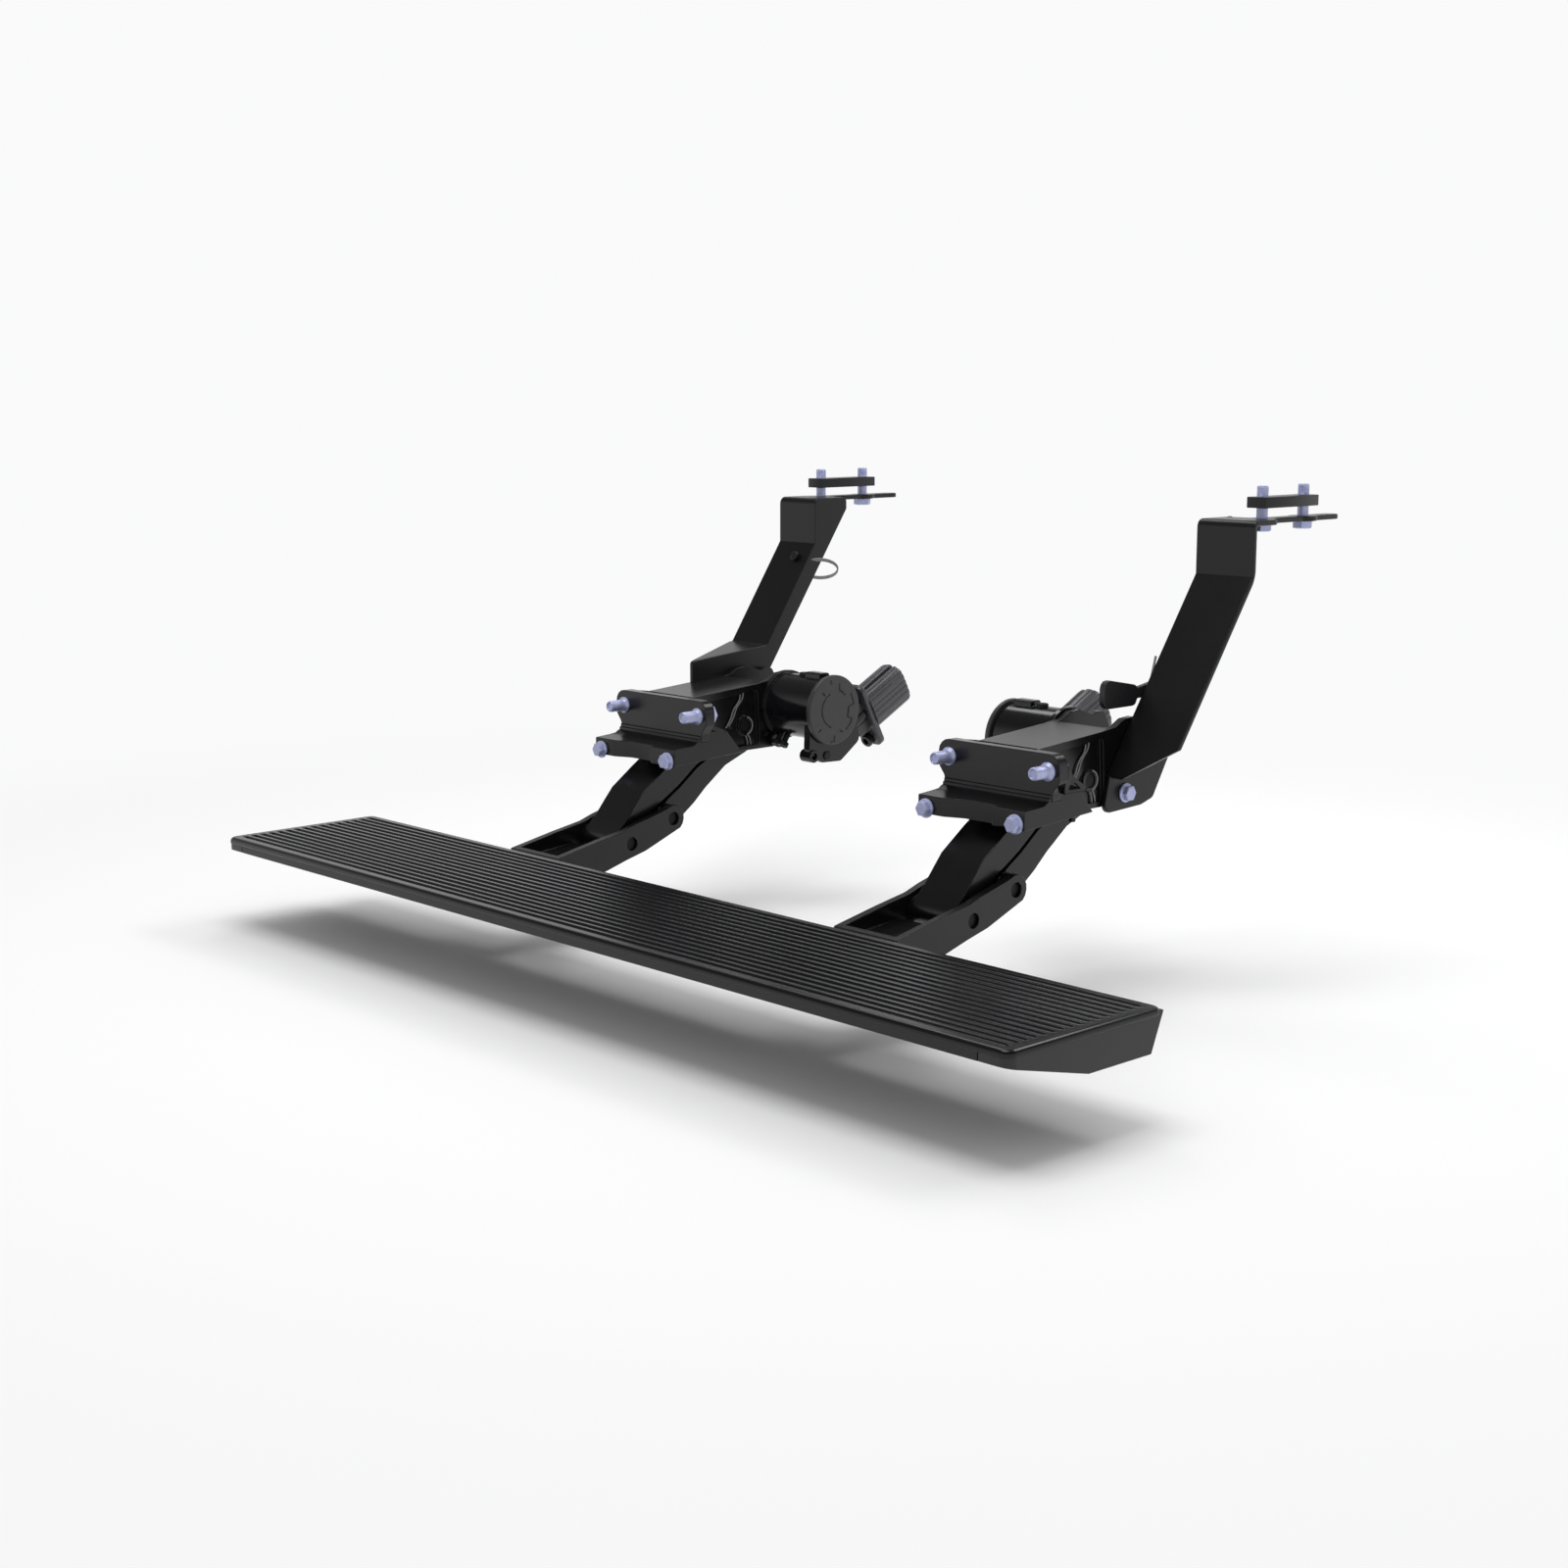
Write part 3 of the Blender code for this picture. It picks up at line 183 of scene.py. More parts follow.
class Finish(Nodes):
    """A material and its shader."""

    def __init__(self, name):
        self.material = bpy.data.materials.new(name)
        self.material.use_nodes = True
        super().__init__(self.material.node_tree)
        self.shader = self.tree.nodes["Principled BSDF"]

    def set(self, **sockets):
        """Fills sockets of the shader by name."""
        for key, value in sockets.items():
            self.fill(self.shader.inputs[key.replace("_", " ")], value)

    def place(self):
        """The place on the object, in metres."""
        return self.node("ShaderNodeTexCoord").outputs["Object"]

    def noise(self, scale, detail=3.0, roughness=0.5, stretch=None):
        """Noise at so many lumps a metre, stretched along an axis if asked."""
        where = self.place()
        if stretch:
            where = self.node("ShaderNodeMapping", Vector=where, Scale=stretch).outputs[0]
        made = self.node("ShaderNodeTexNoise", Vector=where, Scale=scale, Detail=detail,
                         Roughness=roughness)
        return Term(self.tree, made.outputs[0])

    def blend(self, mask, low, high):
        """A colour between low and high."""
        mix = self.node("ShaderNodeMix", {"data_type": "RGBA"})
        self.fill(mix.inputs[0], mask)
        mix.inputs[6].default_value = (*low, 1.0)
        mix.inputs[7].default_value = (*high, 1.0)
        return mix.outputs[2]

    def relief(self, height, depth, edge=0.0):
        """Grain, over edges that look rounded where the solid has none of its own."""
        bump = self.node("ShaderNodeBump", Strength=1.0, Distance=depth * MM, Height=height)
        if edge:
            soft = self.node("ShaderNodeBevel", {"samples": 6}, Radius=edge * MM)
            self.fill(bump.inputs["Normal"], soft.outputs[0])
        self.set(Normal=bump.outputs[0])


def powder_coat(name, colour, roughness, grain, depth, gloss):
    """Sprayed coat: a fine orange peel, specks of it and a slow change in gloss."""
    made = Finish(name)
    peel = made.noise(grain, 4.0, 0.6)
    cloud = made.noise(13.0, 2.0)
    speck = made.noise(grain * 1.9, 1.0).above(0.63)
    made.set(Base_Color=made.blend(cloud * 0.7 + speck * 0.3, [c * 0.7 for c in colour],
                                   [c * 1.5 for c in colour]),
             Roughness=roughness - 0.03 + cloud * 0.06 + peel * 0.05,
             Specular_IOR_Level=gloss)
    made.relief(peel, depth)
    return made.material


def moulded(name, colour, roughness):
    """Grained plastic."""
    made = Finish(name)
    grain = made.noise(2600.0, 2.0, 0.7)
    cloud = made.noise(22.0, 2.0)
    made.set(Base_Color=made.blend(grain * 0.6 + cloud * 0.4, [c * 0.8 for c in colour],
                                   [c * 1.25 for c in colour]),
             Roughness=roughness + grain * 0.08, Specular_IOR_Level=0.42)
    made.relief(grain, 0.05)
    return made.material


def zinc_plate(name):
    """Pale lavender passivated zinc, a little cloudy, with fine pits."""
    made = Finish(name)
    cloud = made.noise(140.0, 3.0)
    pits = made.noise(1500.0, 2.0)
    made.set(Base_Color=made.blend(cloud, (0.36, 0.39, 0.62), (0.55, 0.58, 0.84)),
             Roughness=0.3 + cloud * 0.18, Metallic=0.3 + pits * 0.15)
    made.relief(pits, 0.03)
    return made.material


def turned_steel(name, low, high):
    """Dull steel with the fine rings of the lathe."""
    made = Finish(name)
    lines = made.noise(900.0, 2.0, 0.5, (1.0, 0.05, 0.05))
    made.set(Base_Color=made.blend(lines, [low] * 3, [high] * 3), Roughness=0.36 + lines * 0.2,
             Specular_IOR_Level=0.2)
    made.relief(lines, 0.02, 0.3)
    return made.material


# name, colour, roughness, grain, depth of the grain, gloss
FINISHES = {
    "tread_black": powder_coat("tread powder coat", (0.0035, 0.0035, 0.004),
                               0.22, 1500.0, 0.008, 0.34),
    "cap_black": moulded("cap plastic", (0.012, 0.012, 0.0135), 0.36),
    "casting_black": powder_coat("casting powder coat", (0.004, 0.004, 0.0045),
                                 0.22, 900.0, 0.02, 0.38),
    "sheet_black": powder_coat("sheet powder coat", (0.004, 0.004, 0.0045),
                               0.28, 1100.0, 0.03, 0.32),
    "motor_grey": powder_coat("motor can", (0.04, 0.04, 0.047), 0.3, 1600.0, 0.003, 0.6),
    "zinc": zinc_plate("zinc plate"),
    # pins near black: painted shade of the holes their ends sit deep in, though the pins are dull steel
    "pin_steel": turned_steel("blackened pin", 0.002, 0.006),
}
GLOSS_CASE = powder_coat("gear case gloss coat", (0.005, 0.005, 0.006), 0.17, 260.0, 0.02, 0.4)
COVER_COAT = powder_coat("gear cover coat", (0.03, 0.03, 0.032), 0.42, 1200.0, 0.04, 0.5)
# pale grey coat for the beads on the web ribs and round the boss: a painted highlight where their rounded
# edges catch the light
EDGE_HIGHLIGHT_COAT = powder_coat("coat rubbed along edges", (0.17, 0.17, 0.175), 0.2, 800.0, 0.03, 0.7)
DARK_SCREW = turned_steel("black screw", 0.006, 0.02)
PALE_TIE = moulded("pale tie", (0.2, 0.2, 0.21), 0.4)


def dress_nodes():
    """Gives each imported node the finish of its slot."""
    slots = {entry["node"]: entry["material_slot"] for entry in frame["record"]["subparts"]}
    for name, node in frame["nodes"].items():
        material = FINISHES[slots[name]]
        for slot in node.material_slots:
            slot.material = material
        if not node.material_slots:
            node.data.materials.append(material)


def linked(name, data):
    """A new object in the scene."""
    made = bpy.data.objects.new(name, data)
    bpy.context.scene.collection.objects.link(made)
    return made


def evaluated(carrier):
    """What an object's modifiers make of it, as a plain mesh; the object goes."""
    graph = bpy.context.evaluated_depsgraph_get()
    mesh = bpy.data.meshes.new_from_object(carrier.evaluated_get(graph), depsgraph=graph)
    carrier.modifiers.clear()
    bpy.data.objects.remove(carrier)
    return mesh


def settle(name, mesh, material, body, slot, replaced=()):
    """Puts a finished mesh in the scene as a piece of the part."""
    mesh.materials.clear()
    mesh.materials.append(material or FINISHES[slot])
    made = linked(name, mesh)
    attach(made, body)
    if replaced:
        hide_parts(*replaced)
    return made


def as_mesh(name, shell, crease=32.0):
    """Turns a bmesh into a mesh, smooth up to the given fold."""
    bmesh.ops.recalc_face_normals(shell, faces=shell.faces[:])
    mesh = bpy.data.meshes.new(name)
    shell.to_mesh(mesh)
    shell.free()
    mesh.shade_smooth()
    mesh.set_sharp_from_angle(angle=math.radians(crease))
    return mesh


def baked(name, mesh, *modifiers):
    """The mesh as its modifiers leave it; each is (kind, settings)."""
    carrier = linked(name, mesh)
    for kind, settings in modifiers:
        made = carrier.modifiers.new(kind.lower(), kind)
        for key, value in settings.items():
            setattr(made, key, value)
    return evaluated(carrier)


def apart(edges, gap, weights=(1.0, 1.0, 1.0)):
    """Those edges with no other one of them nearby, so that their roundings can't meet."""
    middles = [(edge.verts[0].co + edge.verts[1].co) / 2 * Vector(weights) for edge in edges]
    return [edge for i, edge in enumerate(edges)
            if all(k == i or (middles[i] - other).length > gap * MM for k, other in enumerate(middles))]


def bend_edges(shell):
    """The long outer edges across a folded strip, away from its thin ends."""
    found = []
    for edge in shell.edges:
        run = edge.verts[1].co - edge.verts[0].co
        if run.length < 38.0 * MM or abs(run.normalized().x) < 0.99 or not edge.is_convex:
            continue
        if len(edge.link_faces) == 2 and edge.calc_face_angle() > math.radians(22.0):
            found.append(edge)
    return apart(found, 8.5, (0.0, 1.0, 1.0))


def corner_edges(shell, thick):
    """The edges through a sheet at its outer corners."""
    found = [edge for edge in shell.edges
             if len(edge.link_faces) == 2 and edge.is_convex
             and abs(edge.calc_length() - thick * MM) < 0.5 * MM
             and edge.calc_face_angle() > math.radians(48.0)]
    return apart(found, 2.0 * SHEET_CORNER)


def bevelled(shell, edges, radius, segments=5):
    """Rounds edges of a shell."""
    bmesh.ops.bevel(shell, geom=edges, offset=radius * MM, segments=segments, profile=0.5, affect="EDGES")


def smoothed(mesh):
    """Takes off a mesh's own normals and shades it smooth."""
    for layer in [a for a in mesh.attributes if a.name == "custom_normal"]:
        mesh.attributes.remove(layer)
    mesh.shade_smooth()


def tidied(mesh):
    """Takes out slivers that roundings left, and weights the normals to the large faces again."""
    shell = bmesh.new()
    shell.from_mesh(mesh)
    bmesh.ops.triangulate(shell, faces=[face for face in shell.faces if len(face.verts) > 4])
    bmesh.ops.remove_doubles(shell, verts=shell.verts[:], dist=0.01 * MM)
    bmesh.ops.dissolve_degenerate(shell, dist=0.005 * MM, edges=shell.edges[:])
    shell.to_mesh(mesh)
    shell.free()
    smoothed(mesh)
    weighting = {"mode": "FACE_AREA", "weight": 80, "thresh": 0.01}
    return baked(mesh.name, mesh, ("WEIGHTED_NORMAL", weighting))


def softened(node, body, slot, width, material=None, press=None, steps=2, fold=0.0, fan=False):
    """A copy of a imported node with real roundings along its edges, which stands for it.

    fold is the radius of its folds, and fan splits its many-sided faces first."""
    shell = bmesh.new()
    shell.from_mesh(frame["nodes"][node].data)
    if press is not None:
        for vert in shell.verts:
            vert.co.z = min(vert.co.z, press * MM)
    bmesh.ops.remove_doubles(shell, verts=shell.verts[:], dist=0.02 * MM)
    bmesh.ops.dissolve_degenerate(shell, dist=0.01 * MM, edges=shell.edges[:])
    bmesh.ops.dissolve_limit(shell, angle_limit=math.radians(0.8), verts=shell.verts[:],
                             edges=shell.edges[:])
    if fold:
        bevelled(shell, corner_edges(shell, SHEET), SHEET_CORNER)
        bevelled(shell, bend_edges(shell), fold)
    if fan:
        bmesh.ops.triangulate(shell, faces=[face for face in shell.faces if len(face.verts) > 4])
    mesh = bpy.data.meshes.new(node + "_shell")
    shell.to_mesh(mesh)
    shell.free()
    smoothed(mesh)
    rounding = {"width": width * MM, "segments": steps, "limit_method": "ANGLE",
                "angle_limit": math.radians(33.0), "use_clamp_overlap": False, "harden_normals": True,
                "miter_outer": "MITER_ARC"}
    result = baked(node + "_shell", mesh, ("BEVEL", rounding))
    if fold:
        result = tidied(result)
    return settle(node + "_finished", result, material, body, slot, (node,))


def soften_castings():
    """The cast and folded pieces with their edges rounded."""
    for side, _, _ in SIDES:
        for part, body, slot, width, more in (
                ("housing", "mounting", "casting_black", 0.65, {}),
                ("strut", "mounting", "sheet_black", 0.9, {"fold": 7.0}),
                ("clamp_bar", "mounting", "sheet_black", 0.7, {}),
                ("gear_case", "mounting", "casting_black", 0.5, {"material": GLOSS_CASE}),
                ("step_bracket", "step", "casting_black", 0.7, {}),
                ("front_arm", f"{side}_front", "casting_black", 0.7, {"fan": True}),
                ("rear_arm", f"{side}_rear", "casting_black", 0.7, {"fan": True})):
            softened(f"{side}_{part}", body, slot, width, **more)
        softened(f"{side}_end_cap", "step", "cap_black", 1.0, press=TREAD_SEAT)
    softened("right_wire_clip", "mounting", "cap_black", 0.8)
    softened("tread_board", "step", "tread_black", 0.5, press=TREAD_SEAT, steps=1)


class Recipe(Nodes):
    """A Geometry Nodes tree with named inputs, grown into plain meshes."""

    def __init__(self, name, **inputs):
        super().__init__(bpy.data.node_groups.new(name, "GeometryNodeTree"))
        face = self.tree.interface
        face.new_socket(name="Geometry", in_out="INPUT", socket_type="NodeSocketGeometry")
        self.keys = {}
        for label, kind in inputs.items():
            made = face.new_socket(name=label.replace("_", " "), in_out="INPUT",
                                   socket_type="NodeSocket" + kind)
            self.keys[label] = made.identifier
        face.new_socket(name="Geometry", in_out="OUTPUT", socket_type="NodeSocketGeometry")
        self.given = self.tree.nodes.new("NodeGroupInput")
        self.end = self.tree.nodes.new("NodeGroupOutput")

    def value(self, label):
        """A named input as a term."""
        return Term(self.tree, self.given.outputs[label.replace("_", " ")])

    def finish(self, geometry):
        """Realize Instances, then Set Material, as the last two steps."""
        plain = self.node("GeometryNodeRealizeInstances", Geometry=geometry)
        coated = self.node("GeometryNodeSetMaterial", Geometry=plain.outputs[0],
                           Material=self.given.outputs["Material"])
        self.tree.links.new(coated.outputs[0], self.end.inputs[0])

    def grown(self, name, material, base=None, **values):
        """The tree's result for these sizes, as a mesh with no modifier left."""
        carrier = linked(name, base or bpy.data.meshes.new(name))
        made = carrier.modifiers.new("recipe", "NODES")
        made.node_group = self.tree
        made[self.keys["Material"]] = material
        for label, value in values.items():
            made[self.keys[label]] = value
        return evaluated(carrier)


def bolt_recipe():
    """A hex bolt with a chamfered head, a washer flange and a rolled thread, in a row."""
    make = Recipe("hex bolts in a row", Shank_radius="Float", Shank_length="Float", Thread_length="Float",
                  Pitch="Float", Head_radius="Float", Head_height="Float", Flange_radius="Float",
                  Flange_height="Float", Count="Int", Step="Vector", Material="Material")
    value = make.value

    def prism(sides, radius, bottom, height, top_share=1.0):
        """A prism or cone frustum that stands at bottom."""
        cone = make.node("GeometryNodeMeshCone", Vertices=sides, Radius_Top=radius * top_share,
                         Radius_Bottom=radius, Depth=height)
        lift = make.node("ShaderNodeCombineXYZ", Z=bottom)
        return make.node("GeometryNodeTransform", Geometry=cone.outputs[0],
                         Translation=lift.outputs[0]).outputs[0]

    flange = value("Flange_height")
    head = value("Head_height")
    shank = value("Shank_radius")
    turns = value("Thread_length") / value("Pitch")
    coil = make.node("GeometryNodeCurveSpiral", Resolution=16, Rotations=turns, Start_Radius=shank - 0.0001,
                     End_Radius=shank - 0.0001, Height=value("Thread_length") - value("Pitch") * 1.2)
    drop = make.node("ShaderNodeCombineXYZ", Z=value("Pitch") * 0.7 - value("Shank_length"))
    crest = make.node("GeometryNodeCurvePrimitiveCircle", Resolution=3, Radius=value("Pitch") * 0.42)
    thread = make.node("GeometryNodeCurveToMesh", Curve=coil.outputs[0], Profile_Curve=crest.outputs[0],
                       Fill_Caps=True)
    thread = make.node("GeometryNodeTransform", Geometry=thread.outputs[0], Translation=drop.outputs[0])
    body = make.node("GeometryNodeJoinGeometry")
    length = value("Shank_length")
    for part in (prism(32, value("Flange_radius"), 0.0, flange * 0.55),
                 prism(32, value("Flange_radius") * 0.998, flange * 0.55, flange * 0.45, 0.84),
                 prism(6, value("Head_radius"), flange * 0.5, head - 0.0009 - flange * 0.5),
                 prism(6, value("Head_radius") * 0.998, head - 0.0009, 0.0006, 0.93),
                 prism(20, value("Head_radius") * 0.84, head - 0.0006, 0.0006, 0.9),
                 prism(24, shank, 0.0008 - length, length),
                 prism(24, shank * 0.86, -length, 0.001, 1.12),
                 thread.outputs[0]):
        make.tree.links.new(part, body.inputs[0])
    line = make.node("GeometryNodeMeshLine", Count=make.given.outputs["Count"],
                     Offset=make.given.outputs["Step"])
    rows = make.node("GeometryNodeInstanceOnPoints", Points=line.outputs[0], Instance=body.outputs[0])
    make.finish(rows.outputs[0])
    return make


def row_recipe():
    """Repeats whatever mesh it is given along a line."""
    make = Recipe("pieces in a row", Piece="Object", Count="Int", Step="Vector", Material="Material")
    source = make.node("GeometryNodeObjectInfo", Object=make.given.outputs["Piece"])
    line = make.node("GeometryNodeMeshLine", Count=make.given.outputs["Count"],
                     Offset=make.given.outputs["Step"])
    rows = make.node("GeometryNodeInstanceOnPoints", Points=line.outputs[0],
                     Instance=source.outputs["Geometry"])
    make.finish(rows.outputs[0])
    return make


def bead_recipe():
    """A round bead along each line of points that it is given."""
    make = Recipe("bead along a line", Radius="Float", Sides="Int", Material="Material")
    line = make.node("GeometryNodeMeshToCurve", Mesh=make.given.outputs["Geometry"])
    ring = make.node("GeometryNodeCurvePrimitiveCircle", Resolution=make.given.outputs["Sides"],
                     Radius=make.given.outputs["Radius"])
    bead = make.node("GeometryNodeCurveToMesh", Curve=line.outputs[0], Profile_Curve=ring.outputs[0],
                     Fill_Caps=True)
    make.finish(bead.outputs[0])
    return make


def tread_recipe():
    """A sheet with round-ended grooves along it, one width wide and one length long."""
    make = Recipe("grooved tread", Length="Float", Width="Float", Groove_length="Float",
                  Groove_width="Float", Groove_depth="Float", First_groove="Float", Pitch="Float",
                  Count="Float", Material="Material")
    value = make.value
    grid = make.node("GeometryNodeMeshGrid", Size_X=2.0, Size_Y=1.0, Vertices_X=TREAD_POINTS[0],
                     Vertices_Y=TREAD_POINTS[1])
    place = make.node("ShaderNodeSeparateXYZ", Vector=make.node("GeometryNodeInputPosition").outputs[0])
    along = Term(make.tree, place.outputs[0])
    inward = 1.0 - abs(along)
    x = along.sign() * (1.0 - inward * inward) * value("Length") * 0.5
    y = Term(make.tree, place.outputs[1]) * value("Width")
    phase = (y + value("Width") * 0.5 - value("First_groove")) / value("Pitch")
    nearest = phase.rounded().most(0.0).least(value("Count") - 1.0)
    aside = abs(phase - nearest) * value("Pitch")
    half = value("Groove_width") * 0.5
    beyond = (abs(x) - (value("Groove_length") * 0.5 - half)).most(0.0)
    distance = (aside * aside + beyond * beyond).power(0.5)
    depth = ((half - distance) / (half * GROOVE_WALL)).eased() * value("Groove_depth")
    where = make.node("ShaderNodeCombineXYZ", X=x, Y=y, Z=-depth)
    moved = make.node("GeometryNodeSetPosition", Geometry=grid.outputs[0], Position=where.outputs[0])
    make.finish(moved.outputs[0])
    return make


BOLTS = bolt_recipe()
ROW = row_recipe()
TREAD = tread_recipe()
BEAD = bead_recipe()


def aim(place, direction):
    """The move that puts +Z along a direction at a place given in millimetres."""
    turn = Vector(direction).to_track_quat("Z", "Y").to_matrix().to_4x4()
    return Matrix.Translation(Vector(place) * MM) @ turn


def hex_bolts(name, body, seat, direction, sizes, replaced, count=1, spread=(0.0, 0.0, 0.0)):
    """Bolts whose heads sit on seat, pointing along direction, in a row."""
    turn = aim((0.0, 0.0, 0.0), direction).to_3x3()
    step = turn.inverted() @ (Vector(spread) * MM)
    shank, length, thread, head, height, flange, rim = (v * MM for v in sizes)
    mesh = BOLTS.grown(name, FINISHES["zinc"], Shank_radius=shank, Shank_length=length,
                       Thread_length=thread, Pitch=THREAD_PITCH * MM, Head_radius=head, Head_height=height,
                       Flange_radius=flange, Flange_height=rim, Count=count, Step=tuple(step))
    mesh.transform(aim(seat, direction))
    mesh.shade_smooth()
    mesh.set_sharp_from_angle(angle=math.radians(28.0))
    return settle(name, mesh, None, body, "zinc", replaced)


def lathe(name, profile, steps=32, crease=32.0):
    """A closed turned piece around +Z; profile runs from pole to pole as (radius, height)."""
    shell = bmesh.new()
    rings = []
    for radius, height in profile:
        if radius < 0.001:
            rings.append([shell.verts.new((0.0, 0.0, height * MM))])
            continue
        rings.append([shell.verts.new((radius * MM * math.cos(2 * math.pi * i / steps),
                                       radius * MM * math.sin(2 * math.pi * i / steps), height * MM))
                      for i in range(steps)])
    for low, high in zip(rings, rings[1:]):
        for i in range(steps):
            corners = [low[i % len(low)], low[(i + 1) % len(low)],
                       high[(i + 1) % len(high)], high[i % len(high)]]
            shell.faces.new(list(dict.fromkeys(corners)))
    return as_mesh(name, shell, crease)


def in_row(name, mesh, material, body, slot, place, direction, count=1, spread=(0.0, 0.0, 0.0),
           replaced=()):
    """Repeats a turned piece in a row and puts it in place."""
    carrier = linked(name + "_pattern", mesh)
    step = aim((0.0, 0.0, 0.0), direction).to_3x3().inverted() @ (Vector(spread) * MM)
    result = ROW.grown(name, material or FINISHES[slot], Piece=carrier, Count=count, Step=tuple(step))
    bpy.data.objects.remove(carrier)
    result.transform(aim(place, direction))
    return settle(name, result, material, body, slot, replaced)


def sill_studs(side, x):
    """Studs with trumpet collars on the sill flange, and their heads behind it."""
    stud = [(0.0, 14.0), (5.0, 14.0), (5.0, 0.2), (7.9, 0.2), (7.9, -1.3), (7.4, -1.9), (6.5, -2.6),
            (5.9, -3.9), (5.6, -5.6), (5.5, -17.6), (5.0, -18.8), (4.4, -19.0), (3.9, -18.6),
            (3.5, -17.7), (0.0, -17.7)]
    first, spread = x - SILL_BOLT_OUT, (2 * SILL_BOLT_OUT, 0.0, 0.0)
    in_row(side + "_sill_studs", lathe(side + "_stud", stud, 36), None, "mounting", "zinc",
           (first, 0.0, 0.0), (0, 1, 0), 2, spread,
           [f"{side}_sill_{part}_{i}" for part in ("bolt", "collar") for i in (1, 2)])
    hex_bolts(side + "_sill_heads", "mounting", (first, 11.3, 0.0), (0, 1, 0),
              (4.9, 8.0, 6.0, 9.2, 7.0, 9.4, 1.2), (), 2, spread)


def small_bolts(side, x, way):
    """The flange bolts of lip and strut, and the long bolts of the frame clamp."""
    hex_bolts(side + "_lip_bolts", "mounting", (x - LIP_BOLT_OUT, -33.3, -39.9), (0, -1, 0),
              (4.0, 14.0, 11.0, 6.9, 6.9, 8.3, 2.2), (side + "_lip_bolt_1", side + "_lip_bolt_2"), 2,
              (2 * LIP_BOLT_OUT, 0.0, 0.0))
    hex_bolts(side + "_strut_bolt_dressed", "mounting", (x - way * 39.0, *STRUT_BOLT_AT[side]),
              (-way, 0, 0), (4.0, 11.0, 8.0, 6.9, 6.9, 8.3, 2.2), (side + "_strut_bolt",))
    hex_bolts(side + "_clamp_bolts", "mounting", CLAMP_BOLT_AT[side], (0, 0, -1),
              (4.9, 32.8, 20.0, 9.2, 6.5, 9.4, 1.0), (side + "_clamp_bolt_1", side + "_clamp_bolt_2"), 2,
              (0.0, CLAMP_BOLT_GAP, 0.0))


def rounded_corner(point, half, radius):
    """Draws a point of the sheet in to the rounded corner of its rectangle."""
    dx, dy = abs(point[0]) - (half[0] - radius), abs(point[1]) - (half[1] - radius)
    reach = math.hypot(dx, dy)
    if dx > 0.0 and dy > 0.0 and reach > radius:
        return (math.copysign(half[0] - radius + dx * radius / reach, point[0]),
                math.copysign(half[1] - radius + dy * radius / reach, point[1]))
    return point


def make_tread():
    """The grooved top over board and caps, with the round edge that frames it."""
    middle = Vector(((TREAD_LEFT + TREAD_RIGHT) / 2, (TREAD_FRONT + TREAD_BACK) / 2, TREAD_TOP))
    length = TREAD_RIGHT - TREAD_LEFT - 2 * TREAD_INSET
    width = TREAD_BACK - TREAD_FRONT - 2 * TREAD_INSET
    mesh = TREAD.grown("tread_top", FINISHES["tread_black"], Length=length * MM, Width=width * MM,
                       Groove_length=(length - 2 * GROOVE_END_GAP) * MM, Groove_width=GROOVE_WIDTH * MM,
                       Groove_depth=GROOVE_DEPTH * MM, First_groove=FIRST_GROOVE * MM,
                       Pitch=GROOVE_PITCH * MM, Count=float(GROOVE_COUNT))
    half = (length / 2 * MM, width / 2 * MM)
    for vert in mesh.vertices:
        vert.co.x, vert.co.y = rounded_corner(vert.co.to_2d(), half, (TREAD_CORNER - TREAD_INSET) * MM)
    mesh.transform(Matrix.Translation(middle * MM))
    shell = bmesh.new()
    shell.from_mesh(mesh)
    bmesh.ops.remove_doubles(shell, verts=shell.verts[:], dist=0.004 * MM)
    rim = [edge for edge in shell.edges if edge.is_boundary]
    skirt = bmesh.ops.extrude_edge_only(shell, edges=rim)["geom"]
    for item in skirt:
        if isinstance(item, bmesh.types.BMVert):
            item.co.z = TREAD_SKIRT * MM
    bmesh.ops.holes_fill(shell, edges=[edge for edge in shell.edges if edge.is_boundary], sides=0)
    settle("tread_top", as_mesh("tread_top", shell, 50.0), None, "step", "tread_black")
    make_tread_edge(middle)


def skinned(shell, rings, closed=False, capped=False):
    """Joins rings of points with faces, round to the first one if closed, or with flat ends."""
    for one, two in zip(rings, rings[1:] + rings[:1] if closed else rings[1:]):
        for i in range(len(one)):
            j = (i + 1) % len(one)
            shell.faces.new((one[i], two[i], two[j], one[j]))
    if capped:
        shell.faces.new(rings[0])
        shell.faces.new(rings[-1])


def make_tread_edge(middle):
    """A bull nose swept round the rectangle of the tread."""
    half_x, half_y = (TREAD_RIGHT - TREAD_LEFT) / 2, (TREAD_BACK - TREAD_FRONT) / 2
    nose = [(-3.4 + 3.8 * math.sin(math.radians(t)), -3.8 + 3.8 * math.cos(math.radians(t)))
            for t in range(0, 91, 15)]
    section = [(-TREAD_INSET, 0.0), *nose, (0.4, -5.3), (0.1, -5.7), (-0.6, -5.9),
               (-TREAD_INSET, TREAD_SKIRT - TREAD_TOP)]
    shell = bmesh.new()
    rings = []
    for sx, sy, start in ((1, 1, 0), (-1, 1, 90), (-1, -1, 180), (1, -1, 270)):
        centre_x = middle.x + sx * (half_x - TREAD_CORNER)
        centre_y = middle.y + sy * (half_y - TREAD_CORNER)
        for turn in range(0, 91, 15):
            out_x, out_y = math.cos(math.radians(start + turn)), math.sin(math.radians(start + turn))
            rings.append([shell.verts.new(((centre_x + out_x * (TREAD_CORNER + a)) * MM,
                                           (centre_y + out_y * (TREAD_CORNER + a)) * MM,
                                           (middle.z + b + 0.02) * MM)) for a, b in section])
    skinned(shell, rings, closed=True)
    settle("tread_edge", as_mesh("tread_edge", shell, 40.0), None, "step", "tread_black")


def arc_points(radius, start, end, step=4.0):
    """Points (radius, angle) along an arc, in degrees."""
    count = max(2, int(abs(end - start) / step) + 1)
    return [(radius, start + (end - start) * i / (count - 1)) for i in range(count)]


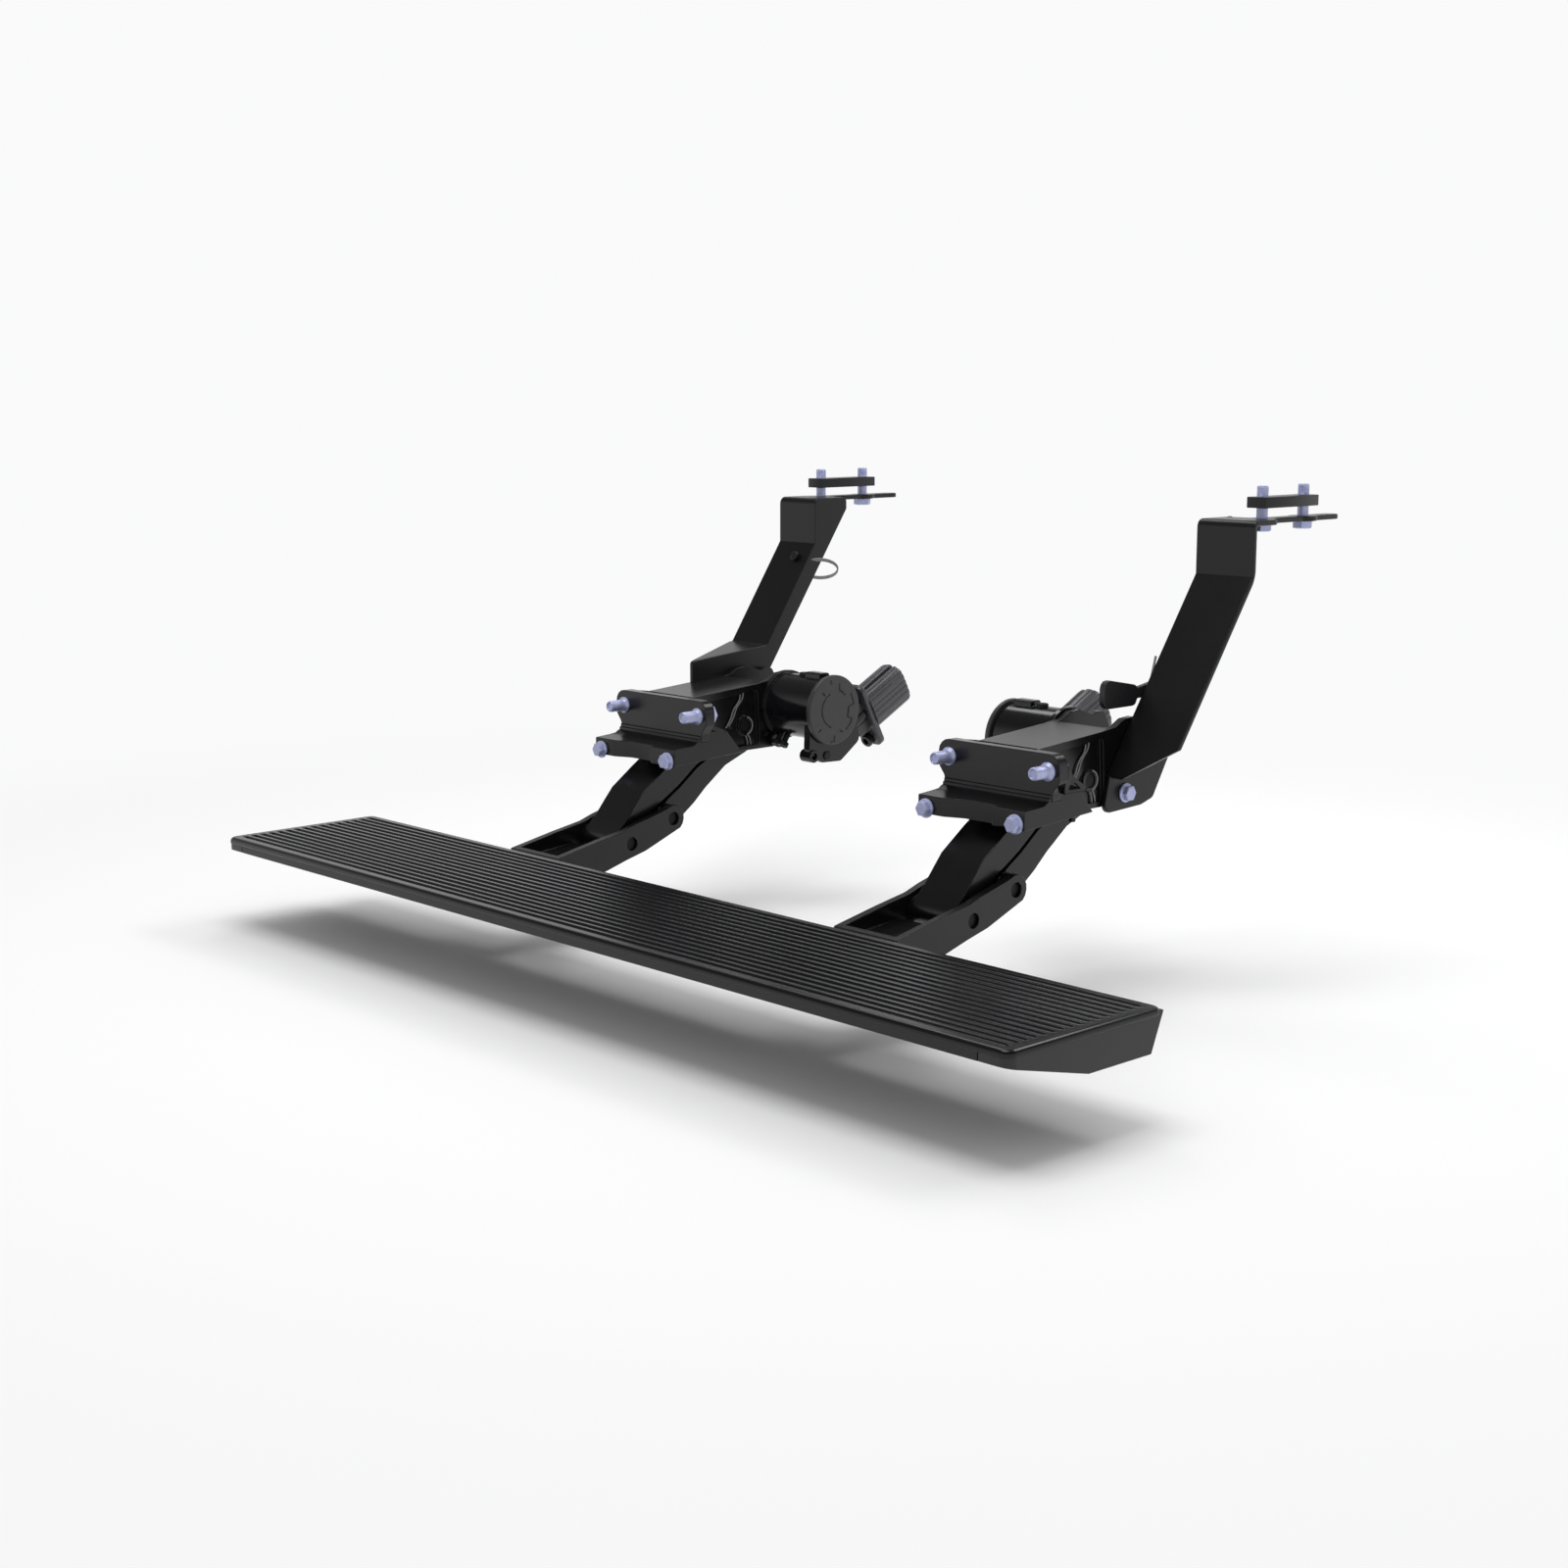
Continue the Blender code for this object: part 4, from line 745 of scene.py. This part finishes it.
# the sunk lines of the gear cover: shares of its radius and angles, which open towards the motor
COVER_LINES = (
    arc_points(0.5, 112, 252),
    [(0.77, 76), *arc_points(0.58, 70, 46)],
    [*arc_points(0.77, 33, 8), *arc_points(0.55, 6, -24), *arc_points(0.76, -24, -52)],
    [(0.60, 131), (0.70, 131)],
    [(0.75, 223), (0.86, 223)],
    [(0.64, -70), (0.72, -64)],
    [(0.74, -90), *arc_points(0.91, -91, -99)],
    [(0.78, 100), (0.86, 100)],
)
COVER_R = 34.2
COVER_NEAR, COVER_FAR = 99.3, 104.3
LINE_HALF, LINE_SLOPE, LINE_DEPTH = 0.95, 0.6, 1.1


def line_gap(line, points_y, points_z):
    """How far points of the cover are from one of its lines."""
    gap = np.full(points_y.shape, 99.0)
    flat = [(r * COVER_R * math.cos(math.radians(a)), r * COVER_R * math.sin(math.radians(a)))
            for r, a in line]
    for (ay, az), (by, bz) in zip(flat, flat[1:]):
        run_y, run_z = by - ay, bz - az
        along = ((points_y - ay) * run_y + (points_z - az) * run_z) / (run_y ** 2 + run_z ** 2)
        along = np.clip(along, 0.0, 1.0)
        gap = np.minimum(gap, np.hypot(points_y - ay - along * run_y, points_z - az - along * run_z))
    return gap


def make_cover(side, x, way):
    """The gear case's lid with sunk lines, as rings of points whose height follows the lines."""
    steps, rings = 288, 76
    angles = np.arange(steps) * 2 * math.pi / steps
    radii = np.linspace(0.0, COVER_R - 1.5, rings)[1:]
    points_y, points_z = np.outer(radii, np.cos(angles)), np.outer(radii, np.sin(angles))
    gap = np.minimum.reduce([line_gap(line, points_y, points_z) for line in COVER_LINES])
    sunk = np.clip((LINE_HALF - gap) / LINE_SLOPE, 0.0, 1.0)
    sunk = LINE_DEPTH * sunk * sunk * (3.0 - 2.0 * sunk)
    shell = bmesh.new()

    def point(depth, aside_y, aside_z):
        return shell.verts.new(((x + way * (COVER_FAR - depth)) * MM, (SHAFT_AT[0] + aside_y) * MM,
                                (SHAFT_AT[1] + aside_z) * MM))

    pole = point(0.0, 0.0, 0.0)
    rows = [[point(sunk[i, k], points_y[i, k], points_z[i, k]) for k in range(steps)]
            for i in range(rings - 1)]
    for radius, depth in ((COVER_R - 0.7, 0.3), (COVER_R, 1.3), (COVER_R, 4.4),
                          (COVER_R - 0.6, COVER_FAR - COVER_NEAR)):
        rows.append([point(depth, radius * math.cos(a), radius * math.sin(a)) for a in angles])
    for k in range(steps):
        shell.faces.new((pole, rows[0][k], rows[0][(k + 1) % steps]))
    skinned(shell, rows)
    shell.faces.new(rows[-1])
    settle(side + "_cover_face", as_mesh(side + "_cover_face", shell, 30.0), COVER_COAT, "mounting",
           "casting_black", (side + "_gear_cover",))


# turned pieces of the drive, from pole to pole as (radius, height)
EAR_BARREL = ((0.0, -13.0), (5.8, -13.0), (6.2, -12.4), (6.2, 1.6), (5.6, 2.3), (3.6, 2.3), (3.4, 2.0),
              (3.2, -4.0), (0.0, -4.0))
EAR_SCREW = ((0.0, -6.0), (4.6, -6.0), (4.6, 1.2), (4.1, 1.7), (0.0, 1.7))
CASE_SCREW = ((0.0, -9.0), (3.0, -9.0), (3.0, 0.0), (5.0, 0.0), (5.3, 0.4), (5.3, 4.2), (4.7, 4.9),
              (2.7, 4.9), (2.5, 4.6), (2.5, 2.2), (0.0, 2.2))
BREATHER = ((0.0, -3.0), (5.2, -3.0), (5.2, 2.4), (4.6, 3.2), (2.4, 3.4), (2.2, 3.0), (0.0, 3.0))
FLANGE_BOSS = ((0.0, -3.0), (6.6, -3.0), (6.6, 6.4), (5.9, 7.2), (3.6, 7.2), (3.3, 6.9), (3.3, 3.5),
               (0.0, 3.5))
END_CUP = ((0.0, -1.0), (6.0, -1.0), (6.0, 1.4), (5.4, 2.0), (2.0, 2.0), (1.8, 1.4), (0.0, 1.4))
EDGE_CLIP = ((0.0, -2.0), (3.0, -2.0), (3.0, 0.0), (5.2, 0.0), (5.2, 0.9), (4.2, 1.7), (2.8, 1.7),
             (2.4, 1.1), (1.6, 1.1), (1.2, 2.0), (0.0, 2.2))


def make_drive_details(side, x, way):
    """The ear's barrel and screw, the case's dark screws and its breather cap."""
    out = (way, 0, 0)
    for name, profile, steps, material, place, direction, count in (
            ("ear_barrel", EAR_BARREL, 28, GLOSS_CASE, (99.0, 109.5, -45.4), out, 1),
            ("ear_screw", EAR_SCREW, 6, DARK_SCREW, (99.0, 127.8, -46.4), out, 1),
            ("case_screws", CASE_SCREW, 24, DARK_SCREW, (40.0, 118.0, -37.5), (0, -0.55, -0.83), 2),
            ("breather", BREATHER, 24, DARK_SCREW, (64.0, 131.4, 28.6), (0, 0, 1), 1)):
        in_row(f"{side}_{name}", lathe(name, profile, steps), material, "mounting", "casting_black",
               (x + way * place[0], *place[1:]), direction, count, (way * 9.0, 0.0, 0.0))


CAN_POINTS, CAN_RADIUS, CAN_FLAT = 288, 22.0, 16.4
FLUTES, FLUTE_DEPTH = 18, 0.6
SLOT_AT, SLOT_HALF, SLOT_DEPTH = 284.0, 5.0, 5.0


def can_outline():
    """The motor can's section: flat sides, round ends, fine flutes and one deep slot near its top."""
    points = []
    for i in range(CAN_POINTS):
        angle = 2 * math.pi * i / CAN_POINTS
        flat = CAN_FLAT / max(abs(math.cos(angle)), 0.01)
        radius = (flat ** -9 + CAN_RADIUS ** -9) ** (-1 / 9)
        radius -= FLUTE_DEPTH * max(0.0, math.cos(FLUTES * angle)) ** 2
        slot = abs(math.degrees(angle) - SLOT_AT)
        radius -= SLOT_DEPTH * max(0.0, 1.0 - (slot / SLOT_HALF) ** 2)
        points.append((radius * math.cos(angle), radius * math.sin(angle)))
    return points


def plate_outline(half, low, high, corner, inset):
    """A rounded rectangle across the motor's axis, drawn in by inset."""
    points = []
    for sx, edge, start in ((1, high, 0), (-1, high, 90), (-1, low, 180), (1, low, 270)):
        centre = (sx * (half - corner), edge - math.copysign(corner, edge))
        points += [(centre[0] + (corner - inset) * math.cos(math.radians(start + t)),
                    centre[1] + (corner - inset) * math.sin(math.radians(start + t)))
                   for t in range(0, 91, 15)]
    return points


# the worm housing's cheek as (y, z), and how far out it reaches
CHEEK = ((171.0, 1.5), (181.5, -1.0), (192.5, -23.0), (187.5, -30.0), (177.0, -33.0), (162.0, -34.5),
         (162.0, -8.0))
CHEEK_REACH = (88.0, 96.5)


def make_cheek(side, x, way):
    """The flat cheek of the worm housing, between the lid and the motor's flange."""
    shell = bmesh.new()
    low, high = ([shell.verts.new(((x + way * reach) * MM, y * MM, z * MM)) for y, z in CHEEK]
                 for reach in CHEEK_REACH)
    skinned(shell, [low, high], capped=True)
    bmesh.ops.recalc_face_normals(shell, faces=shell.faces[:])
    bevelled(shell, [edge for edge in shell.edges if all(vert in high for vert in edge.verts)], 0.8, 2)
    settle(side + "_worm_cheek", as_mesh(side + "_worm_cheek", shell, 30.0), COVER_COAT, "mounting",
           "casting_black")


# the motor's can and flange along its axis: (level, share of the section) and (level, inset)
CAN_LEVELS = ((46.0, 1.0), (94.5, 1.0), (96.6, 0.985), (98.0, 0.95), (98.6, 0.89), (98.4, 0.8))
FLANGE_LEVELS = ((41.0, 0.8), (41.3, 0.2), (41.8, 0.0), (46.2, 0.0), (46.7, 0.2), (47.0, 0.8))
FLANGE_HALF, FLANGE_LOW, FLANGE_HIGH, FLANGE_CORNER = 14.5, -30.5, 37.5, 7.0


def make_motor(side, x, way):
    """The motor: a fluted can on an upright flange, and the screw boss at the flange's foot."""
    tilt = math.radians(MOTOR_TILT)
    axis = Vector((0.0, math.cos(tilt), math.sin(tilt)))
    drop = Vector((0.0, math.sin(tilt), -math.cos(tilt)))
    foot = Vector((x + way * WORM_X, *SHAFT_AT)) + drop * WORM_DROP
    can = can_outline()
    layers = [[(level, [(a * share, b * share) for a, b in can]) for level, share in CAN_LEVELS],
              [(level, plate_outline(FLANGE_HALF, FLANGE_LOW, FLANGE_HIGH, FLANGE_CORNER, inset))
               for level, inset in FLANGE_LEVELS]]
    shell = bmesh.new()
    for layer in layers:
        rings = [[shell.verts.new((foot + axis * level + drop * b + Vector((way * a, 0.0, 0.0))) * MM)
                  for a, b in outline] for level, outline in layer]
        skinned(shell, rings, capped=True)
    settle(side + "_motor_can", as_mesh(side + "_motor_can", shell, 34.0), None, "mounting", "motor_grey",
           (side + "_motor",))
    in_row(side + "_flange_boss", lathe("flange_boss", FLANGE_BOSS, 28), GLOSS_CASE, "mounting",
           "casting_black", foot + axis * 41.5 + drop * 30.0, -axis)
    in_row(side + "_motor_end_cup", lathe("end_cup", END_CUP, 28), None, "mounting", "motor_grey",
           foot + axis * 98.4, axis)


def beads(name, paths, radius, material, body, slot):
    """Round beads along paths of points in millimetres, as one piece."""
    lines = bpy.data.meshes.new(name + "_lines")
    points, edges = [], []
    for path in paths:
        edges += [(len(points) + i, len(points) + i + 1) for i in range(len(path) - 1)]
        points += [tuple(v * MM for v in point) for point in path]
    lines.from_pydata(points, edges, [])
    mesh = BEAD.grown(name, material or FINISHES[slot], base=lines, Radius=radius * MM, Sides=10)
    mesh.shade_smooth()
    return settle(name, mesh, material, body, slot)


def eased_path(points, rounds=3):
    """Cuts the corners of a path until it runs smoothly."""
    for _ in range(rounds):
        cut = [points[0]]
        for one, two in zip(points, points[1:]):
            cut += [tuple(a * 0.75 + b * 0.25 for a, b in zip(one, two)),
                    tuple(a * 0.25 + b * 0.75 for a, b in zip(one, two))]
        points = cut + [points[-1]]
    return points


def band(name, path, wide, thick, material, body, slot):
    """A closed strip of even width that follows a loop of (point, side direction)."""
    section = ((-1, -0.6), (-0.8, -1), (0.8, -1), (1, -0.6), (1, 0.6), (0.8, 1), (-0.8, 1), (-1, 0.6))
    shell = bmesh.new()
    rings = []
    for i, (point, across) in enumerate(path):
        ahead = (Vector(path[(i + 1) % len(path)][0]) - Vector(path[i - 1][0])).normalized()
        side = Vector(across).normalized()
        up = ahead.cross(side).normalized()
        rings.append([shell.verts.new((Vector(point) + side * a * wide / 2 + up * b * thick / 2) * MM)
                      for a, b in section])
    skinned(shell, rings, closed=True)
    return settle(name, as_mesh(name, shell, 50.0), material, body, slot)


def make_ties():
    """The tie loop and edge clip on the left strut, and the strip that holds the right wire clip."""
    loop = []
    for i in range(40):
        angle = 2 * math.pi * i / 40
        loop.append(((-33.0 + 6.0 * math.cos(angle), 246.0 + 20.0 * math.cos(angle + 0.15),
                      121.5 + 9.5 * math.sin(angle)), (0.5, -0.4, 0.8)))
    band("left_tie_loop", loop, 4.2, 1.4, PALE_TIE, "mounting", "cap_black")
    in_row("left_edge_clip", lathe("edge_clip", EDGE_CLIP, 28), DARK_SCREW, "mounting", "cap_black",
           (-52.0, 227.6, 135.0), (0.0, -0.905, 0.425))
    beads("right_tie_strip", [[(466.4, 166.0, 79.4), (466.4, 163.5, 71.0), (466.4, 159.0, 56.2)]], 1.1,
          PALE_TIE, "mounting", "cap_black")


# the ribs on the housing's sunk webs: how far out, their centre lines as (y, z), and their width
RIB_FACE = 31.7
UPPER_RIB = ((79.5, 13.5), (78.5, 7.0), (70.0, -1.0), (67.0, -10.0), (60.5, -18.0))
LOWER_RIB = ((84.0, -27.0), (88.6, -33.0), (89.4, -41.8))
RIB_WIDTH = 4.6
RING_R = 8.6


def make_web_lines(side, x):
    """Rolled edges on the curved ribs of the housing's sunk webs, and round the pivot boss, in a pale coat
    that is a painted highlight.
    """
    paths = []
    for sign in (-1, 1):
        level = x + sign * (RIB_FACE - 0.1)
        for rib in (UPPER_RIB, LOWER_RIB):
            for shift in (-0.2, -RIB_WIDTH):
                lift = shift * 0.38 * (1 if rib is UPPER_RIB else -0.4)
                aside = [(y + shift * 0.92, z + lift) for y, z in rib]
                paths.append([(level, y, z) for y, z in eased_path(aside)])
        # the half ring beside the boss is a painted highlight arc
        paths.append([(level + sign * 1.2, BOSS_AT[0] + RING_R * math.cos(math.radians(t)),
                       BOSS_AT[1] + RING_R * math.sin(math.radians(t))) for t in range(-80, 81, 10)])
    beads(side + "_web_lines", paths, 0.75, EDGE_HIGHLIGHT_COAT, "mounting", "casting_black")


def make_camera():
    """The camera where the photograph was taken from."""
    data = bpy.data.cameras.new("camera")
    data.lens = 52.97
    data.sensor_width = 36.0
    data.clip_start = 0.01
    data.clip_end = 60.0
    camera = linked("camera", data)
    right = Vector((0.6844, 0.7291, 0.0))
    up = Vector((-0.12484, 0.11719, 0.9852))
    back = right.cross(up)
    place = Matrix((right, up, back)).transposed().to_4x4()
    place.translation = Vector((1.69046, -1.42303, 0.31147))
    camera.matrix_world = place
    bpy.context.scene.camera = camera


# the studio's white and its even light, and the floor around the part that keeps the shadow
WHITE = (0.955, 0.955, 0.96, 1.0)
EVEN_LIGHT = 0.55
CEILING_DIM = 0.85
FLOOR_MIDDLE = (0.23, -0.05, FLOOR_Z * MM)
FADE_FROM, FADE_OVER = 0.62, 1.0


def rays_that_see(nodes):
    """One for the rays that look at the studio itself, nought for the light it gives."""
    path = nodes.node("ShaderNodeLightPath")
    seen = Term(nodes.tree, path.outputs["Is Camera Ray"])
    for kind in ("Is Glossy Ray", "Is Transmission Ray"):
        seen = seen.most(Term(nodes.tree, path.outputs[kind]))
    return seen


def make_floor():
    """A pale floor that keeps the shadow near the part and runs into the white beyond it."""
    mesh = bpy.data.meshes.new("floor")
    shell = bmesh.new()
    bmesh.ops.create_grid(shell, x_segments=1, y_segments=1, size=30.0)
    bmesh.ops.translate(shell, verts=shell.verts, vec=(0.0, 0.0, FLOOR_Z * MM))
    shell.to_mesh(mesh)
    shell.free()
    floor = linked("floor", mesh)
    pale = Finish("floor paint")
    pale.set(Base_Color=(0.9, 0.9, 0.905, 1.0), Roughness=0.9, Specular_IOR_Level=0.1)
    centred = pale.node("ShaderNodeVectorMath", {"operation": "SUBTRACT"})
    pale.fill(centred.inputs[0], pale.place())
    centred.inputs[1].default_value = FLOOR_MIDDLE
    reach = pale.node("ShaderNodeVectorMath", {"operation": "LENGTH"})
    pale.fill(reach.inputs[0], centred.outputs[0])
    far = ((Term(pale.tree, reach.outputs["Value"]) - FADE_FROM) / FADE_OVER).eased()
    glow = pale.node("ShaderNodeEmission", Color=WHITE, Strength=1.0)
    mix = pale.node("ShaderNodeMixShader")
    pale.fill(mix.inputs[0], far * rays_that_see(pale))
    pale.fill(mix.inputs[1], pale.shader.outputs[0])
    pale.fill(mix.inputs[2], glow.outputs[0])
    pale.fill(pale.tree.nodes["Material Output"].inputs[0], mix.outputs[0])
    mesh.materials.append(pale.material)


def make_world():
    """Even pale surroundings, seen white and shining a little less."""
    world = bpy.data.worlds.new("studio")
    world.use_nodes = True
    bpy.context.scene.world = world
    world.node_tree.nodes.clear()
    studio = Nodes(world.node_tree)
    glow = studio.node("ShaderNodeBackground", Color=(1.0, 1.0, 1.0, 1.0), Strength=EVEN_LIGHT)
    towards = studio.node("ShaderNodeSeparateXYZ",
                          Vector=studio.node("ShaderNodeTexCoord").outputs["Generated"])
    height = Term(studio.tree, towards.outputs[2])
    gloss = Term(studio.tree, studio.node("ShaderNodeLightPath").outputs["Is Glossy Ray"])
    dim = 1.0 - ((height - 0.1) / 0.5).eased() * gloss * CEILING_DIM
    shown = studio.node("ShaderNodeBackground", Color=WHITE, Strength=dim)
    mix = studio.node("ShaderNodeMixShader")
    studio.fill(mix.inputs[0], rays_that_see(studio))
    studio.fill(mix.inputs[1], glow.outputs[0])
    studio.fill(mix.inputs[2], shown.outputs[0])
    studio.node("ShaderNodeOutputWorld", Surface=mix.outputs[0])


LIGHTS_AIM = Vector((0.25, 0.0, 0.0))


def make_lights():
    """Three soft boxes that look at the middle of the part."""
    for name, place, size, power in (("overhead", (0.3, -0.4, 2.4), (1.6, 1.4), 31.0),
                                     ("back_strip", (0.7, 1.5, 1.75), (1.4, 0.5), 12.0),
                                     ("left_strip", (-0.9, 0.8, 1.95), (0.5, 1.2), 7.0)):
        data = bpy.data.lights.new(name, "AREA")
        data.shape = "RECTANGLE"
        data.size, data.size_y = size
        data.energy = power
        lamp = linked(name, data)
        lamp.location = place
        lamp.rotation_euler = (LIGHTS_AIM - Vector(place)).to_track_quat("-Z", "Y").to_euler()


dress_nodes()
soften_castings()
for side_name, link_x, outward in SIDES:
    sill_studs(side_name, link_x)
    small_bolts(side_name, link_x, outward)
make_tread()
for side_name, link_x, outward in SIDES:
    make_cover(side_name, link_x, outward)
    make_drive_details(side_name, link_x, outward)
    make_cheek(side_name, link_x, outward)
    make_motor(side_name, link_x, outward)
    make_web_lines(side_name, link_x)
make_ties()
make_camera()
make_floor()
make_world()
make_lights()
bpy.context.scene.view_settings.view_transform = "Standard"
